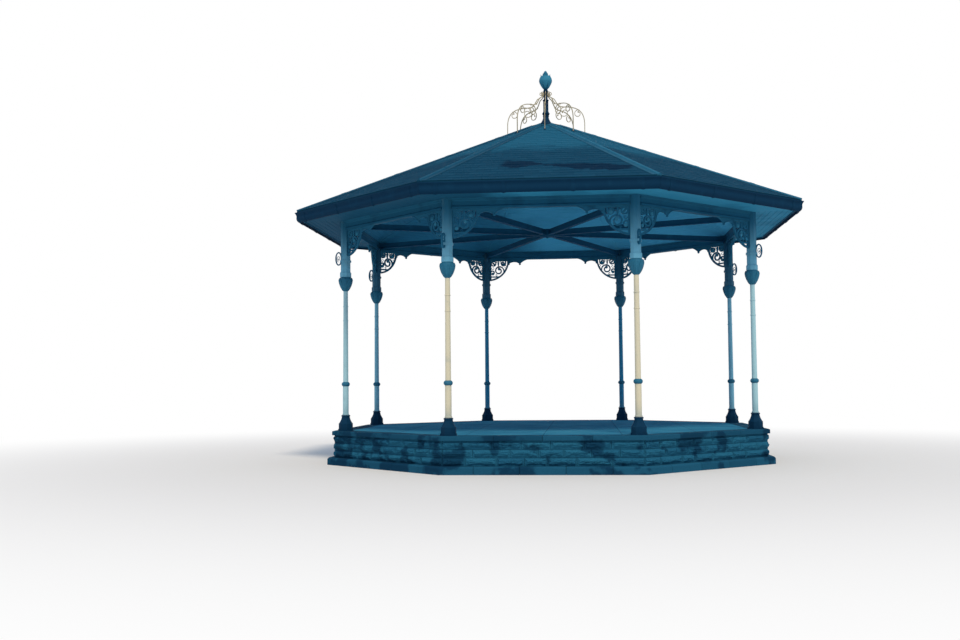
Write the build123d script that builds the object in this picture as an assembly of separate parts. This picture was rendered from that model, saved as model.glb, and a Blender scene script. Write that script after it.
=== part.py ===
from build123d import *
import math
import os

# Eight-sided open bandstand. Millimetres, +Z up, origin on the ground at the centre.
# The front side faces -Y. A radius is measured to a corner of the octagon, an apothem to a flat side.

# Octagon on which the columns stand
sides = 8
column_radius = 4570

# Plinth
plinth_height = 700
wall_beyond_columns = 230
wall_thickness = 360
base_projection = 160
base_height = 150
coping_overhang = 60
coping_lap = 10
coping_height = 90
coping_stone_length = 900
coping_joints = 3
mortar_joint = 6
floor_thickness = 110
floor_joint = 5

# Pedestal, octagonal in plan
pedestal_width = 276
pedestal_block_height = 165
pedestal_chamfer = 14
pedestal_plinth_height = 40
pedestal_plinth_step = 12
pedestal_height = 325
pedestal_top_width = 150
pedestal_waist_share = 0.35
pedestal_cap_width = 172
pedestal_cap_height = 30

# Column casting, heights above the floor
shaft_diameter = 120
shaft_foot_diameter = 140
shaft_foot_height = 24
collar_middle = 975
collar_diameter = 172
collar_height = 90
upper_shaft_diameter = 108
neck_diameter = 94
astragal_projection = 8
astragal_height = 24
upper_astragal_drop = 330
lower_astragal_drop = 630
capital_height = 300
capital_diameter = 276
capital_rim_diameter = 214
capital_widest_share = 0.80
capital_swell_share = 0.72
capital_swell_height_share = 0.40
capital_turn_share = 0.28
leaf_thickness = 13
leaf_width = 92
leaf_curl = 12
pier_below_lintel = 1000
pier_width = 190
pier_foot_width = 222
pier_foot_height = 110
pier_foot_ledge = 1
pier_band_height = 46
pier_band_below_lintel = 640

# Lintels and tie beams
bay_height = 4230
lintel_depth = 190
lintel_width = 140
lintel_flange = 34
lintel_web_width = 96
tie_width = 90
tie_depth = 120
tie_flange = 14
tie_web = 16
tie_above_lintel_bottom = 35
hub_apothem = 170
hub_height = 150

# Spandrel brackets, in the plane of a lintel
bracket_plate = 26
bracket_bead = 40
bead_width = 20
scroll_thickness = 30
bracket_depth = 560
bracket_reach = 1010
bracket_rim = 42
scroll_band = 34
lobe_end = 500
lobe_end_depth = 118
lobe_bulge = 345
lobe_bulge_depth = 405
drop_place = 795
drop_depth = 122
drop_radius = 27
scallop_depth = 66
tail_depth = 40
lower_scroll_drop = 452
lower_scroll_stem = 205
lower_scroll_radius = 148
lower_scroll_quarters = 6
upper_scroll_place = 418
upper_scroll_stem = 74
upper_scroll_radius = 62
upper_scroll_quarters = 5
side_scroll_drop = 345
side_scroll_radius = 52
side_scroll_quarters = 3
corner_ring_radius = 76
leaf_filler_width = 46
scroll_shrink = 0.82
scroll_eye_share = 1.1
lug_reach = 117
lug_height = 290
lug_band = 26
lug_below_lintel = 610

# Eaves and roof
eaves_overhang = 888
fascia_thickness = 25
fascia_below_soffit = 35
gutter_width = 105
gutter_depth = 205
gutter_below_soffit = 60
gutter_wall = 10
gutter_hook = 16
gutter_floor_share = 0.25
gutter_belly_share = 0.61
gutter_belly_height_share = 0.20
gutter_waist_share = 0.70
gutter_waist_height_share = 0.50
gutter_flare_share = 0.77
gutter_flare_height_share = 0.76
slope_over_gutter = 55
roof_pitch = 23.66
roof_thickness = 60
hip_gap = 4
board_thickness = 20
seat_on_lintel = 25
rafter_width = 60
rafter_depth = 160
rafter_end_clearance = 24
post_depth = 70
king_radius = 120
king_height = 250
ceiling_above_king_bottom = 40
hip_roll_radius = 42
cap_radius = 330
cap_thickness = 26

# Finial, heights above the apex of the slopes
finial_foot_radius = 118
finial_foot_height = 60
finial_flare_share = 0.3
finial_flare_height_share = 0.6
post_radius = 52
post_knop_radius = 80
post_knop_place = 190
post_step_place = 500
rod_radius = 38
rod_knop_radius = 50
rod_knop_place = 705
knop_edge_share = 0.3
bud_place = 750
bud_radius = 138
bud_widest_place = 935
bud_shoulder_radius = 92
bud_shoulder_place = 1060
bud_neck_radius = 52
bud_neck_place = 1090
bud_swell_share = 0.72
bud_swell_height_share = 0.45
bud_turn_share = 0.93
bud_tip_share = 0.8
bud_tip_radius = 9.5
finial_height = 1175
bud_leaves = 6
bud_leaf_thickness = 12
bud_leaf_width_share = 0.86

# Ring of iron scrolls round the finial, one over the middle of each side
rib_width = 18
rib_curl_share = 0.8
rib_thickness = 14
rib_foot = 870
rib_straight = 300
rib_shoulder = 730
rib_shoulder_height = 641
rib_crown = 480
rib_crown_height = 714
rib_dip = 290
rib_dip_height = 756
rib_rise = 185
rib_rise_height = 905
rib_tip_height = 985
crown_curl = 430
crown_curl_radius = 115
crown_curl_quarters = 5
shoulder_curl_radius = 82
shoulder_curl_quarters = 4
tip_curl_radius = 44
tip_curl_quarters = 4

# Worked out from the values above
step_angle = 360 / sides
half_angle = step_angle / 2
flat_share = math.cos(math.radians(half_angle))
mitre_share = math.sin(math.radians(half_angle))
floor_level = plinth_height
wall_radius = column_radius + wall_beyond_columns
wall_inner_radius = wall_radius - wall_thickness
base_radius = wall_radius + base_projection
coping_radius = wall_radius + coping_overhang
coping_inner_radius = wall_inner_radius - coping_lap
column_apothem = column_radius * flat_share
column_foot = floor_level + pedestal_height
lintel_bottom = floor_level + bay_height
capital_top = lintel_bottom - pier_below_lintel
capital_bottom = capital_top - capital_height
lintel_top = lintel_bottom + lintel_depth
tie_bottom = lintel_bottom + tie_above_lintel_bottom
fascia_apothem = column_apothem + eaves_overhang
fascia_inner = fascia_apothem - fascia_thickness
fascia_bottom = lintel_top - fascia_below_soffit
gutter_bottom = lintel_top - gutter_below_soffit
gutter_top = gutter_bottom + gutter_depth
lip_apothem = fascia_apothem + gutter_width
slope_end = fascia_apothem + slope_over_gutter
roof_slope = math.tan(math.radians(roof_pitch))
hip_slope = roof_slope * flat_share
diagonal_share = math.cos(math.radians(45))
apex_height = gutter_top + roof_slope * lip_apothem
soffit_inner = column_apothem + lintel_width / 2 - seat_on_lintel
ceiling_outer = column_apothem - lintel_width / 2 + seat_on_lintel
far = 2 * lip_apothem


def roof_surface(apothem):
    """Height of the roof's upper face at a distance out along the middle of a side."""
    return apex_height - roof_slope * apothem


def octagon(radius):
    """Octagon with a flat side facing -Y."""
    return RegularPolygon(radius, sides, rotation=half_angle)


def around(piece, turn=0.0):
    """The piece repeated once for each side."""
    return [Rot(0, 0, turn + step_angle * index) * piece for index in range(sides)]


def wedge(gap):
    """Tall prism over one side, cut back from both hip planes by half the gap."""
    start = gap / 2 / mitre_share
    spread = (far - start) * math.tan(math.radians(half_angle))
    plan = Polyline((0, -start), (spread, -far), (-spread, -far), close=True)
    return extrude(make_face(plan), amount=far)


def along_side(outline, gap):
    """A profile drawn as apothem and height, run along the front side and mitred at both corners."""
    section = Plane(origin=(0, 0, 0), x_dir=(0, -1, 0), z_dir=(-1, 0, 0))
    bar = extrude(section * outline, amount=far / 2, both=True)
    return bar & wedge(gap)


def rectangle_face(inner, outer, bottom, top):
    """Rectangular profile between two apothems and two heights."""
    return make_face(Polyline((inner, bottom), (outer, bottom), (outer, top), (inner, top), close=True))


def pyramid(rise):
    """Solid octagonal pyramid under the roof's upper face, lifted by a rise."""
    slope_outline = Polyline(
        (0, 0),
        (lip_apothem, 0),
        (lip_apothem, roof_surface(lip_apothem) + rise),
        (0, apex_height + rise),
        close=True,
    )
    sector = along_side(make_face(slope_outline), 0)
    whole = sector
    for piece in around(sector)[1:]:
        whole = whole + piece
    return whole


def save(name, shapes):
    """Write the solids of one piece to its own file."""
    solids = []
    for shape in shapes:
        solids.extend(shape.solids())
    export_step(Compound(children=solids), os.path.join("parts", name + ".step"))


# Plinth: base course, wall, coping and floor over the fill

def make_base_course():
    inner = wall_inner_radius * flat_share
    return around(along_side(rectangle_face(inner, base_radius * flat_share, 0, base_height), mortar_joint))


def make_plinth_wall():
    inner = wall_inner_radius * flat_share
    top = plinth_height - coping_height
    return around(along_side(rectangle_face(inner, wall_radius * flat_share, base_height, top), mortar_joint))


def make_coping():
    """Ring of coping stones, bent round the corners and straight between them."""
    ring = octagon(coping_radius) - octagon(coping_inner_radius)
    course = Pos(0, 0, plinth_height - coping_height) * extrude(ring, amount=coping_height)
    width = coping_radius - coping_inner_radius
    middle = -(coping_radius + coping_inner_radius) / 2 * flat_share
    joint = Box(mortar_joint, 2 * width, 2 * coping_height)
    cuts = []
    for turn in range(sides):
        for count in range(coping_joints):
            along = (count - (coping_joints - 1) / 2) * coping_stone_length
            place = Pos(along, middle, plinth_height - coping_height / 2)
            cuts.append(Rot(0, 0, step_angle * turn) * place * joint)
    return (course - cuts).solids()


def make_floor():
    slab = extrude(octagon(coping_inner_radius - floor_joint), amount=floor_thickness)
    return Pos(0, 0, floor_level - floor_thickness) * slab


def make_fill():
    return extrude(octagon(wall_inner_radius), amount=floor_level - floor_thickness)


# Columns, each one casting above its pedestal

def octagonal_bar(width, bottom, top):
    """Upright bar of octagonal section, measured across its flats."""
    return Pos(0, 0, bottom) * extrude(octagon(width / 2 / flat_share), amount=top - bottom)


def make_pedestal():
    """Chamfered block on a low plinth, a hollowed neck and a thin cap on which the shaft stands."""
    block = octagonal_bar(pedestal_width, 0, pedestal_block_height)
    block = chamfer(block.faces().sort_by(Axis.Z)[-1].edges(), pedestal_chamfer)
    plinth = octagonal_bar(pedestal_width + 2 * pedestal_plinth_step, 0, pedestal_plinth_height)
    cap_bottom = pedestal_height - pedestal_cap_height
    neck_low = pedestal_width - 2 * pedestal_chamfer
    waist = pedestal_top_width + (neck_low - pedestal_top_width) * pedestal_waist_share
    middle = (pedestal_block_height + cap_bottom) / 2
    levels = [(neck_low, pedestal_block_height), (waist, middle), (pedestal_top_width, cap_bottom)]
    neck = block + plinth
    for (width, low), (next_width, high) in zip(levels[:-1], levels[1:]):
        lower = Pos(0, 0, low) * octagon(width / 2 / flat_share)
        upper = Pos(0, 0, high) * octagon(next_width / 2 / flat_share)
        neck = neck + loft([lower, upper])
    cap = octagonal_bar(pedestal_cap_width, cap_bottom, pedestal_height)
    return Pos(0, 0, floor_level) * (neck + cap)


def shaft_radius(height):
    """Radius of the upper shaft, tapering from the collar to the neck."""
    start = floor_level + collar_middle + collar_height / 2
    share = (height - start) / (capital_bottom - start)
    return (upper_shaft_diameter + (neck_diameter - upper_shaft_diameter) * share) / 2


def bell_outline(start, grow):
    """Heart-shaped curve of the capital from the neck to its rim, grown outwards."""
    widest = capital_bottom + capital_height * capital_widest_share
    bell = capital_diameter / 2 + grow
    rim = capital_rim_diameter / 2 + grow
    swell = start + (bell - start) * capital_swell_share
    low_shoulder = (swell, capital_bottom + capital_height * capital_swell_height_share)
    high_shoulder = (bell - (bell - rim) * capital_turn_share, (widest + capital_top) / 2)
    return [
        ThreePointArc((start, capital_bottom), low_shoulder, (bell, widest)),
        ThreePointArc((bell, widest), high_shoulder, (rim, capital_top)),
    ]


def shaft_outline():
    """Half outline of the shaft, collar, astragals and capital, from the foot up."""
    collar_low = floor_level + collar_middle - collar_height / 2
    collar_high = collar_low + collar_height
    shaft = shaft_diameter / 2
    wide = shaft_foot_diameter / 2
    ring_top = column_foot + shaft_foot_height
    lines = [
        Line((0, column_foot), (wide, column_foot)),
        Line((wide, column_foot), (wide, ring_top)),
        Line((wide, ring_top), (shaft, ring_top + wide - shaft)),
        Line((shaft, ring_top + wide - shaft), (shaft, collar_low)),
        ThreePointArc(
            (shaft, collar_low),
            (collar_diameter / 2, floor_level + collar_middle),
            (upper_shaft_diameter / 2, collar_high),
        ),
    ]
    place = (upper_shaft_diameter / 2, collar_high)
    for drop in (lower_astragal_drop, upper_astragal_drop):
        low = capital_bottom - drop
        high = low + astragal_height
        swell = (shaft_radius(low) + astragal_projection, (low + high) / 2)
        lines.append(Line(place, (shaft_radius(low), low)))
        lines.append(ThreePointArc((shaft_radius(low), low), swell, (shaft_radius(high), high)))
        place = (shaft_radius(high), high)
    neck = neck_diameter / 2
    lines.append(Line(place, (neck, capital_bottom)))
    lines += bell_outline(neck, 0)
    lines.append(Line((capital_rim_diameter / 2, capital_top), (0, capital_top)))
    lines.append(Line((0, capital_top), (0, column_foot)))
    return lines


def make_leaves():
    """Pointed leaves that wrap the bell of the capital, each cut from a shell with a leaf-shaped prism."""
    neck = neck_diameter / 2
    outer = bell_outline(neck, leaf_thickness)
    rim = capital_rim_diameter / 2 + leaf_thickness
    curl_top = capital_top - leaf_curl
    shell_lines = outer + [
        Line((rim, capital_top), (0, capital_top)),
        Line((0, capital_top), (0, capital_bottom)),
        Line((0, capital_bottom), (neck, capital_bottom)),
    ]
    shell = revolve(Plane.XZ * make_face(Wire(shell_lines)), Axis.Z)
    middle = (capital_bottom + curl_top) / 2
    half = leaf_width / 2
    blade = make_face(Wire([
        ThreePointArc((0, capital_bottom), (half, middle + leaf_curl), (0, curl_top)),
        ThreePointArc((0, curl_top), (-half, middle + leaf_curl), (0, capital_bottom)),
    ]))
    outward = Plane(origin=(0, 0, 0), x_dir=(0, -1, 0), z_dir=(-1, 0, 0))
    prism = extrude(outward * blade, amount=-capital_diameter)
    return [piece & shell for piece in around(prism)]


def make_pier():
    """Octagonal pier above the capital, with a splayed foot and a band under the loop."""
    foot_top = capital_top + pier_foot_height
    foot = octagonal_bar(pier_foot_width, capital_top, foot_top)
    splay = (pier_foot_width - pier_width) / 2 - pier_foot_ledge
    foot = chamfer(foot.faces().sort_by(Axis.Z)[-1].edges(), splay)
    band_top = lintel_bottom - pier_band_below_lintel
    band = octagonal_bar(pier_foot_width, band_top - pier_band_height, band_top)
    return foot + octagonal_bar(pier_width, capital_top, lintel_top) + band


def make_column(pier):
    column = revolve(Plane.XZ * make_face(Wire(shaft_outline())), Axis.Z)
    for leaf in make_leaves():
        column = column + leaf
    return column + pier


def corner_angle(index):
    """Direction of a corner, counted round from the front right one."""
    return -90 + half_angle + step_angle * index


def at_corner(piece, index):
    """The piece moved to a column's place, with its own flats kept square to the sides."""
    turn = math.radians(corner_angle(index))
    return Pos(column_radius * math.cos(turn), column_radius * math.sin(turn), 0) * piece


# Brackets, drawn in the plane of a lintel: x outwards from the pier's face, y up from the lintel's underside

def scroll_strip(start, heading, stem, radius, quarters, band):
    """Flat bar with a straight stem and quarter arcs that wind inwards to a round eye.

    Each quarter's radius is the one before times scroll_shrink. A count below 0 winds clockwise.
    """
    place = Vector(*start)
    direction = Vector(*heading).normalized()
    path = []
    if stem:
        path.append(Line(place, place + direction * stem))
        place = place + direction * stem
    for number in range(abs(quarters)):
        arc = JernArc(place, direction, radius * scroll_shrink ** number, math.copysign(90, quarters))
        path.append(arc)
        place = arc @ 1
        direction = arc % 1
    eye = Pos(place.X, place.Y) * Circle(band * scroll_eye_share)
    return trace(Wire(path), line_width=band) + eye


def bracket_edge():
    """Lower edge of the bracket: the lobe, the scallop and the tail, out to the tip."""
    cusp = (lobe_end, -lobe_end_depth)
    drop = (drop_place, -drop_depth)
    scallop_middle = ((lobe_end + drop_place) / 2, -scallop_depth)
    tail_middle = ((drop_place + bracket_reach) / 2, -tail_depth)
    return [
        ThreePointArc((0, -bracket_depth), (lobe_bulge, -lobe_bulge_depth), cusp),
        ThreePointArc(cusp, scallop_middle, drop),
        ThreePointArc(drop, tail_middle, (bracket_reach, 0)),
    ]


def leaf_shape(start, end, width):
    """Pointed leaf between two points."""
    first = Vector(*start)
    last = Vector(*end)
    middle = (first + last) / 2
    side = (last - first).normalized().rotate(Axis.Z, 90) * width / 2
    return make_face(Wire([
        ThreePointArc(first, middle + side, last),
        ThreePointArc(last, middle - side, first),
    ]))


def bracket_scrolls():
    """Scrolls, a ring and leaves that fill the open part of the bracket."""
    inner = bracket_rim / 2
    band = scroll_band
    right, up, down = (1, 0), (0, 1), (0, -1)
    scrolls = [
        ((inner, -lower_scroll_drop), right, lower_scroll_stem, lower_scroll_radius, lower_scroll_quarters),
        ((upper_scroll_place, -inner), down, upper_scroll_stem, upper_scroll_radius, -upper_scroll_quarters),
        ((inner, -side_scroll_drop), up, 0, side_scroll_radius, -side_scroll_quarters),
    ]
    pieces = [scroll_strip(*scroll, band) for scroll in scrolls]
    ring = Circle(corner_ring_radius) - Circle(corner_ring_radius - band)
    corner = bracket_rim + corner_ring_radius - band / 2
    middle = inner + lower_scroll_stem
    top = lower_scroll_radius * (1 + scroll_shrink) - lower_scroll_drop
    upright = leaf_shape((middle, -inner), (middle, top), leaf_filler_width)
    near = corner - corner_ring_radius * diagonal_share
    away = corner + corner_ring_radius * diagonal_share
    slanted = leaf_shape((near, -near), (away, -away), leaf_filler_width)
    return pieces + [Pos(corner, -corner) * ring, upright, slanted]


def make_spandrel():
    """Cast plate with a solid tail, an open lobe filled with scrolls, and a bead along its lower edge."""
    edge = bracket_edge()
    outline = make_face(Wire(edge + [
        Line((bracket_reach, 0), (0, 0)),
        Line((0, 0), (0, -bracket_depth)),
    ]))
    lobe = make_face(Wire([
        edge[0],
        Line((lobe_end, -lobe_end_depth), (lobe_end, 0)),
        Line((lobe_end, 0), (0, 0)),
        Line((0, 0), (0, -bracket_depth)),
    ]))
    opening = offset(lobe, amount=-bracket_rim)
    bead = trace(edge[0], line_width=bead_width) + trace(edge[1], line_width=bead_width)
    bead = (bead + trace(edge[2], line_width=bead_width)) & outline
    plane = Plane(origin=(pier_width / 2, 0, lintel_bottom), x_dir=(1, 0, 0), z_dir=(0, -1, 0))
    plate = extrude(plane * (outline - opening), amount=bracket_plate / 2, both=True)
    casting = plate + extrude(plane * bead, amount=bracket_bead / 2, both=True)
    for scroll in bracket_scrolls():
        casting = casting + extrude(plane * (scroll & outline), amount=scroll_thickness / 2, both=True)
    for place, depth in ((lobe_end, lobe_end_depth), (drop_place, drop_depth)):
        casting = casting + Pos(pier_width / 2 + place, 0, lintel_bottom - depth) * Sphere(drop_radius)
    return casting


def make_lug():
    """Small loop on the outer edge of the pier, in the radial plane."""
    back = pier_width / 2 / flat_share
    middle = lintel_bottom - lug_below_lintel
    outer = Ellipse(lug_reach / 2 + lug_band / 2, lug_height / 2)
    inner = Ellipse(lug_reach / 2 - lug_band / 2, lug_height / 2 - lug_band)
    loop = Pos(back + lug_reach / 2 - lug_band / 2, middle) * (outer - inner)
    plane = Plane(origin=(0, 0, 0), x_dir=(1, 0, 0), z_dir=(0, -1, 0))
    return extrude(plane * loop, amount=scroll_thickness / 2, both=True)


def make_brackets(index, spandrel, lug, pier):
    """Two spandrels and the outer loop of one column, each turned to its own direction."""
    turn = corner_angle(index)
    pieces = [
        Rot(0, 0, turn + 90 + half_angle) * spandrel,
        Rot(0, 0, turn - 90 - half_angle) * spandrel,
        Rot(0, 0, turn) * lug - pier,
    ]
    return [at_corner(piece, index) for piece in pieces]


# Lintels and ties

def make_lintel():
    """Moulded beam from pier to pier, above the front side."""
    half = lintel_width / 2
    web = lintel_web_width / 2
    low = lintel_bottom + lintel_flange
    high = lintel_top - lintel_flange
    splay = half - web
    right = [
        (half, lintel_bottom),
        (half, low),
        (web, low + splay),
        (web, high - splay),
        (half, high),
        (half, lintel_top),
    ]
    left = [(-x, z) for x, z in reversed(right)]
    section = Plane(origin=(0, -column_apothem, 0), x_dir=(0, -1, 0), z_dir=(-1, 0, 0))
    length = column_radius * mitre_share - pier_width / 2
    return extrude(section * make_face(Polyline(right + left, close=True)), amount=length, both=True)


def make_ties(pier):
    """Half beams of I section from the hub to each pier, notched round the pier."""
    flange = Rectangle(tie_width, tie_flange)
    lift = (tie_depth - tie_flange) / 2
    outline = Rectangle(tie_web, tie_depth) + Pos(0, lift) * flange + Pos(0, -lift) * flange
    start = Plane(origin=(hub_apothem, 0, tie_bottom + tie_depth / 2), x_dir=(0, 1, 0), z_dir=(1, 0, 0))
    bar = extrude(start * outline, amount=column_radius - hub_apothem)
    ties = []
    for index in range(sides):
        ties.append(Rot(0, 0, corner_angle(index)) * bar - at_corner(pier, index))
    return ties


def make_hub():
    middle = tie_bottom + tie_depth / 2
    hub = Rot(0, 0, half_angle) * extrude(octagon(hub_apothem / flat_share), amount=hub_height)
    return Pos(0, 0, middle - hub_height / 2) * hub


# Eaves, ceiling and roof

def make_soffit():
    face = rectangle_face(soffit_inner, fascia_inner, lintel_top, lintel_top + board_thickness)
    return around(along_side(face, hip_gap))


def king_bottom():
    return rafter_top(king_radius) - king_height


def make_ceiling():
    """Boarded panels from the lintels up to the king block."""
    inner = king_radius * flat_share
    low = king_bottom() + ceiling_above_king_bottom
    outline = Polyline(
        (inner, low),
        (ceiling_outer - seat_on_lintel, lintel_top),
        (ceiling_outer, lintel_top),
        (ceiling_outer, lintel_top + board_thickness),
        (inner, low + board_thickness),
        close=True,
    )
    return around(along_side(make_face(outline), hip_gap))


def make_fascia():
    top = roof_surface(fascia_apothem) - roof_thickness
    return around(along_side(rectangle_face(fascia_inner, fascia_apothem, fascia_bottom, top), hip_gap))


def gutter_curve(inset):
    """Ogee front of the gutter, from the edge of its flat bottom to the lip, set in by a wall."""
    step = inset * diagonal_share
    bottom_edge = fascia_apothem + gutter_width * gutter_floor_share
    waist = fascia_apothem + gutter_width * gutter_waist_share - inset
    waist_height = gutter_bottom + gutter_depth * gutter_waist_height_share
    belly_place = fascia_apothem + gutter_width * gutter_belly_share - step
    belly = (belly_place, gutter_bottom + gutter_depth * gutter_belly_height_share + step)
    flare_place = fascia_apothem + gutter_width * gutter_flare_share - inset
    flare = (flare_place, gutter_bottom + gutter_depth * gutter_flare_height_share)
    lip = (lip_apothem - inset, gutter_top - gutter_hook)
    return [
        ThreePointArc((bottom_edge, gutter_bottom + inset), belly, (waist, waist_height)),
        ThreePointArc((waist, waist_height), flare, lip),
    ]


def make_gutter():
    """Ogee gutter on the fascia, open at the top."""
    back_top = roof_surface(fascia_apothem) - roof_thickness - gutter_wall
    floor_edge = fascia_apothem + gutter_width * gutter_floor_share
    back = fascia_apothem
    wall = gutter_wall
    lines = [Line((back, gutter_bottom), (floor_edge, gutter_bottom))]
    lines += gutter_curve(0)
    lines += [
        Line((lip_apothem, gutter_top - gutter_hook), (lip_apothem, gutter_top)),
        Line((lip_apothem, gutter_top), (lip_apothem - wall, gutter_top)),
        Line((lip_apothem - wall, gutter_top), (lip_apothem - wall, gutter_top - gutter_hook)),
    ]
    lines += gutter_curve(wall)
    lines += [
        Line((floor_edge, gutter_bottom + wall), (back + wall, gutter_bottom + wall)),
        Line((back + wall, gutter_bottom + wall), (back + wall, back_top)),
        Line((back + wall, back_top), (back, back_top)),
        Line((back, back_top), (back, gutter_bottom)),
    ]
    return around(along_side(make_face(Wire(lines)), hip_gap))


def make_roof_slopes():
    outline = Polyline(
        (hip_gap, roof_surface(hip_gap) - roof_thickness),
        (slope_end, roof_surface(slope_end) - roof_thickness),
        (slope_end, roof_surface(slope_end)),
        (hip_gap, roof_surface(hip_gap)),
        close=True,
    )
    return around(along_side(make_face(outline), hip_gap))


def rafter_top(radius):
    """Height of a hip rafter's top, dropped so that its edges meet the slopes' undersides."""
    drop = roof_slope * rafter_width / 2 * mitre_share
    return apex_height - roof_thickness - hip_slope * radius - drop


def make_hip_rafters():
    """Rafters from the king block to the eaves, each with a post down to the pier."""
    end = fascia_inner / flat_share - rafter_end_clearance
    seat = lintel_top + board_thickness
    foot = (rafter_top(0) - rafter_depth - seat) / hip_slope
    near = column_radius - post_depth / 2
    away = column_radius + post_depth / 2
    outline = Polyline(
        (king_radius, rafter_top(king_radius)),
        (end, rafter_top(end)),
        (end, seat),
        (foot, seat),
        (away, rafter_top(away) - rafter_depth),
        (away, lintel_top),
        (near, lintel_top),
        (near, rafter_top(near) - rafter_depth),
        (king_radius, rafter_top(king_radius) - rafter_depth),
        close=True,
    )
    plane = Plane(origin=(0, 0, 0), x_dir=(1, 0, 0), z_dir=(0, -1, 0))
    rafter = extrude(plane * make_face(outline), amount=rafter_width / 2, both=True)
    return around(rafter, half_angle)


def make_king_block():
    """Sixteen-sided block with a face for every rafter and every ceiling panel."""
    block = extrude(octagon(king_radius), amount=king_height)
    turned = Rot(0, 0, half_angle) * extrude(octagon(king_radius / flat_share), amount=king_height)
    return Pos(0, 0, king_bottom()) * (block & turned)


def make_hip_rolls(under):
    """Rounded rolls along the hips, cut to sit on the slopes."""
    outer = slope_end / flat_share
    length = (outer - cap_radius) * math.hypot(1, hip_slope)
    tilt = math.degrees(math.atan(hip_slope))
    middle = (outer + cap_radius) / 2
    bar = Pos(middle, 0, apex_height - hip_slope * middle) * (
        Rot(0, 90 + tilt, 0) * Cylinder(hip_roll_radius, length)
    )
    return [piece - under for piece in around(bar, half_angle)]


def make_cap(under, lifted):
    """Metal cap that follows the slopes round the apex."""
    low = roof_surface(cap_radius) - cap_thickness
    drum = Pos(0, 0, low) * extrude(octagon(cap_radius), amount=cap_radius)
    return (drum & lifted) - under


# Finial

def knop(centre, radius, rod):
    """Half outline of a rounded knop on a rod."""
    half = radius - rod
    edge = rod + half * knop_edge_share
    return [
        Line((rod, centre - half), (edge, centre - half)),
        ThreePointArc((edge, centre - half), (radius, centre), (edge, centre + half)),
        Line((edge, centre + half), (rod, centre + half)),
    ]


def turned_body(lines):
    """Body of revolution from a half outline that runs from bottom to top."""
    start = lines[0] @ 0
    end = lines[-1] @ 1
    closing = [
        Line((end.X, end.Y), (0, end.Y)),
        Line((0, end.Y), (0, start.Y)),
        Line((0, start.Y), (start.X, start.Y)),
    ]
    return revolve(Plane.XZ * make_face(Wire(lines + closing)), Axis.Z)


def make_finial_post(lifted):
    """Flared foot, stout lower post with a knop, and a slimmer rod with a small knop."""
    foot_low = apex_height - cap_radius * hip_slope
    foot_high = apex_height + finial_foot_height
    first = apex_height + post_knop_place
    second = apex_height + rod_knop_place
    step = apex_height + post_step_place
    top = apex_height + bud_place
    lower_half = post_knop_radius - post_radius
    upper_half = rod_knop_radius - rod_radius
    flare_place = post_radius + (finial_foot_radius - post_radius) * finial_flare_share
    flare = (flare_place, apex_height + finial_foot_height * finial_flare_height_share)
    lines = [
        Line((finial_foot_radius, foot_low), (finial_foot_radius, apex_height + cap_thickness)),
        ThreePointArc((finial_foot_radius, apex_height + cap_thickness), flare, (post_radius, foot_high)),
        Line((post_radius, foot_high), (post_radius, first - lower_half)),
    ]
    lines += knop(first, post_knop_radius, post_radius)
    lines += [
        Line((post_radius, first + lower_half), (post_radius, step)),
        Line((post_radius, step), (rod_radius, step + post_radius - rod_radius)),
        Line((rod_radius, step + post_radius - rod_radius), (rod_radius, second - upper_half)),
    ]
    lines += knop(second, rod_knop_radius, rod_radius)
    lines.append(Line((rod_radius, second + upper_half), (rod_radius, top)))
    return turned_body(lines) - lifted


def bud_outline(grow):
    """Half outline of the bud, swelling from the rod and drawn in to a blunt tip."""
    low = apex_height + bud_place
    widest = apex_height + bud_widest_place
    shoulder = apex_height + bud_shoulder_place
    neck = apex_height + bud_neck_place
    tip = apex_height + finial_height
    wide = bud_radius - bud_leaf_thickness + grow
    high = bud_shoulder_radius - bud_leaf_thickness + grow
    swell = (wide * bud_swell_share, low + (widest - low) * bud_swell_height_share)
    turn = (wide * bud_turn_share, (widest + shoulder) / 2)
    taper = (bud_neck_radius * bud_tip_share, (neck + tip) / 2)
    return [
        ThreePointArc((rod_radius, low), swell, (wide, widest)),
        ThreePointArc((wide, widest), turn, (high, shoulder)),
        Line((high, shoulder), (bud_neck_radius, neck)),
        ThreePointArc((bud_neck_radius, neck), taper, (bud_tip_radius, tip)),
    ]


def make_finial_bud():
    """Bud wrapped in pointed leaves."""
    core = turned_body(bud_outline(0))
    shell = turned_body(bud_outline(bud_leaf_thickness))
    low = apex_height + bud_place
    high = apex_height + bud_shoulder_place
    half = bud_radius * math.sin(math.pi / bud_leaves) * bud_leaf_width_share
    widest = apex_height + bud_widest_place
    blade = make_face(Wire([
        ThreePointArc((0, low), (half, widest), (0, high)),
        ThreePointArc((0, high), (-half, widest), (0, low)),
    ]))
    outward = Plane(origin=(0, 0, 0), x_dir=(0, -1, 0), z_dir=(-1, 0, 0))
    prism = extrude(outward * blade, amount=-2 * bud_radius)
    bud = core
    for number in range(bud_leaves):
        bud = bud + (Rot(0, 0, 360 / bud_leaves * number) * prism & shell)
    return bud


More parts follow.
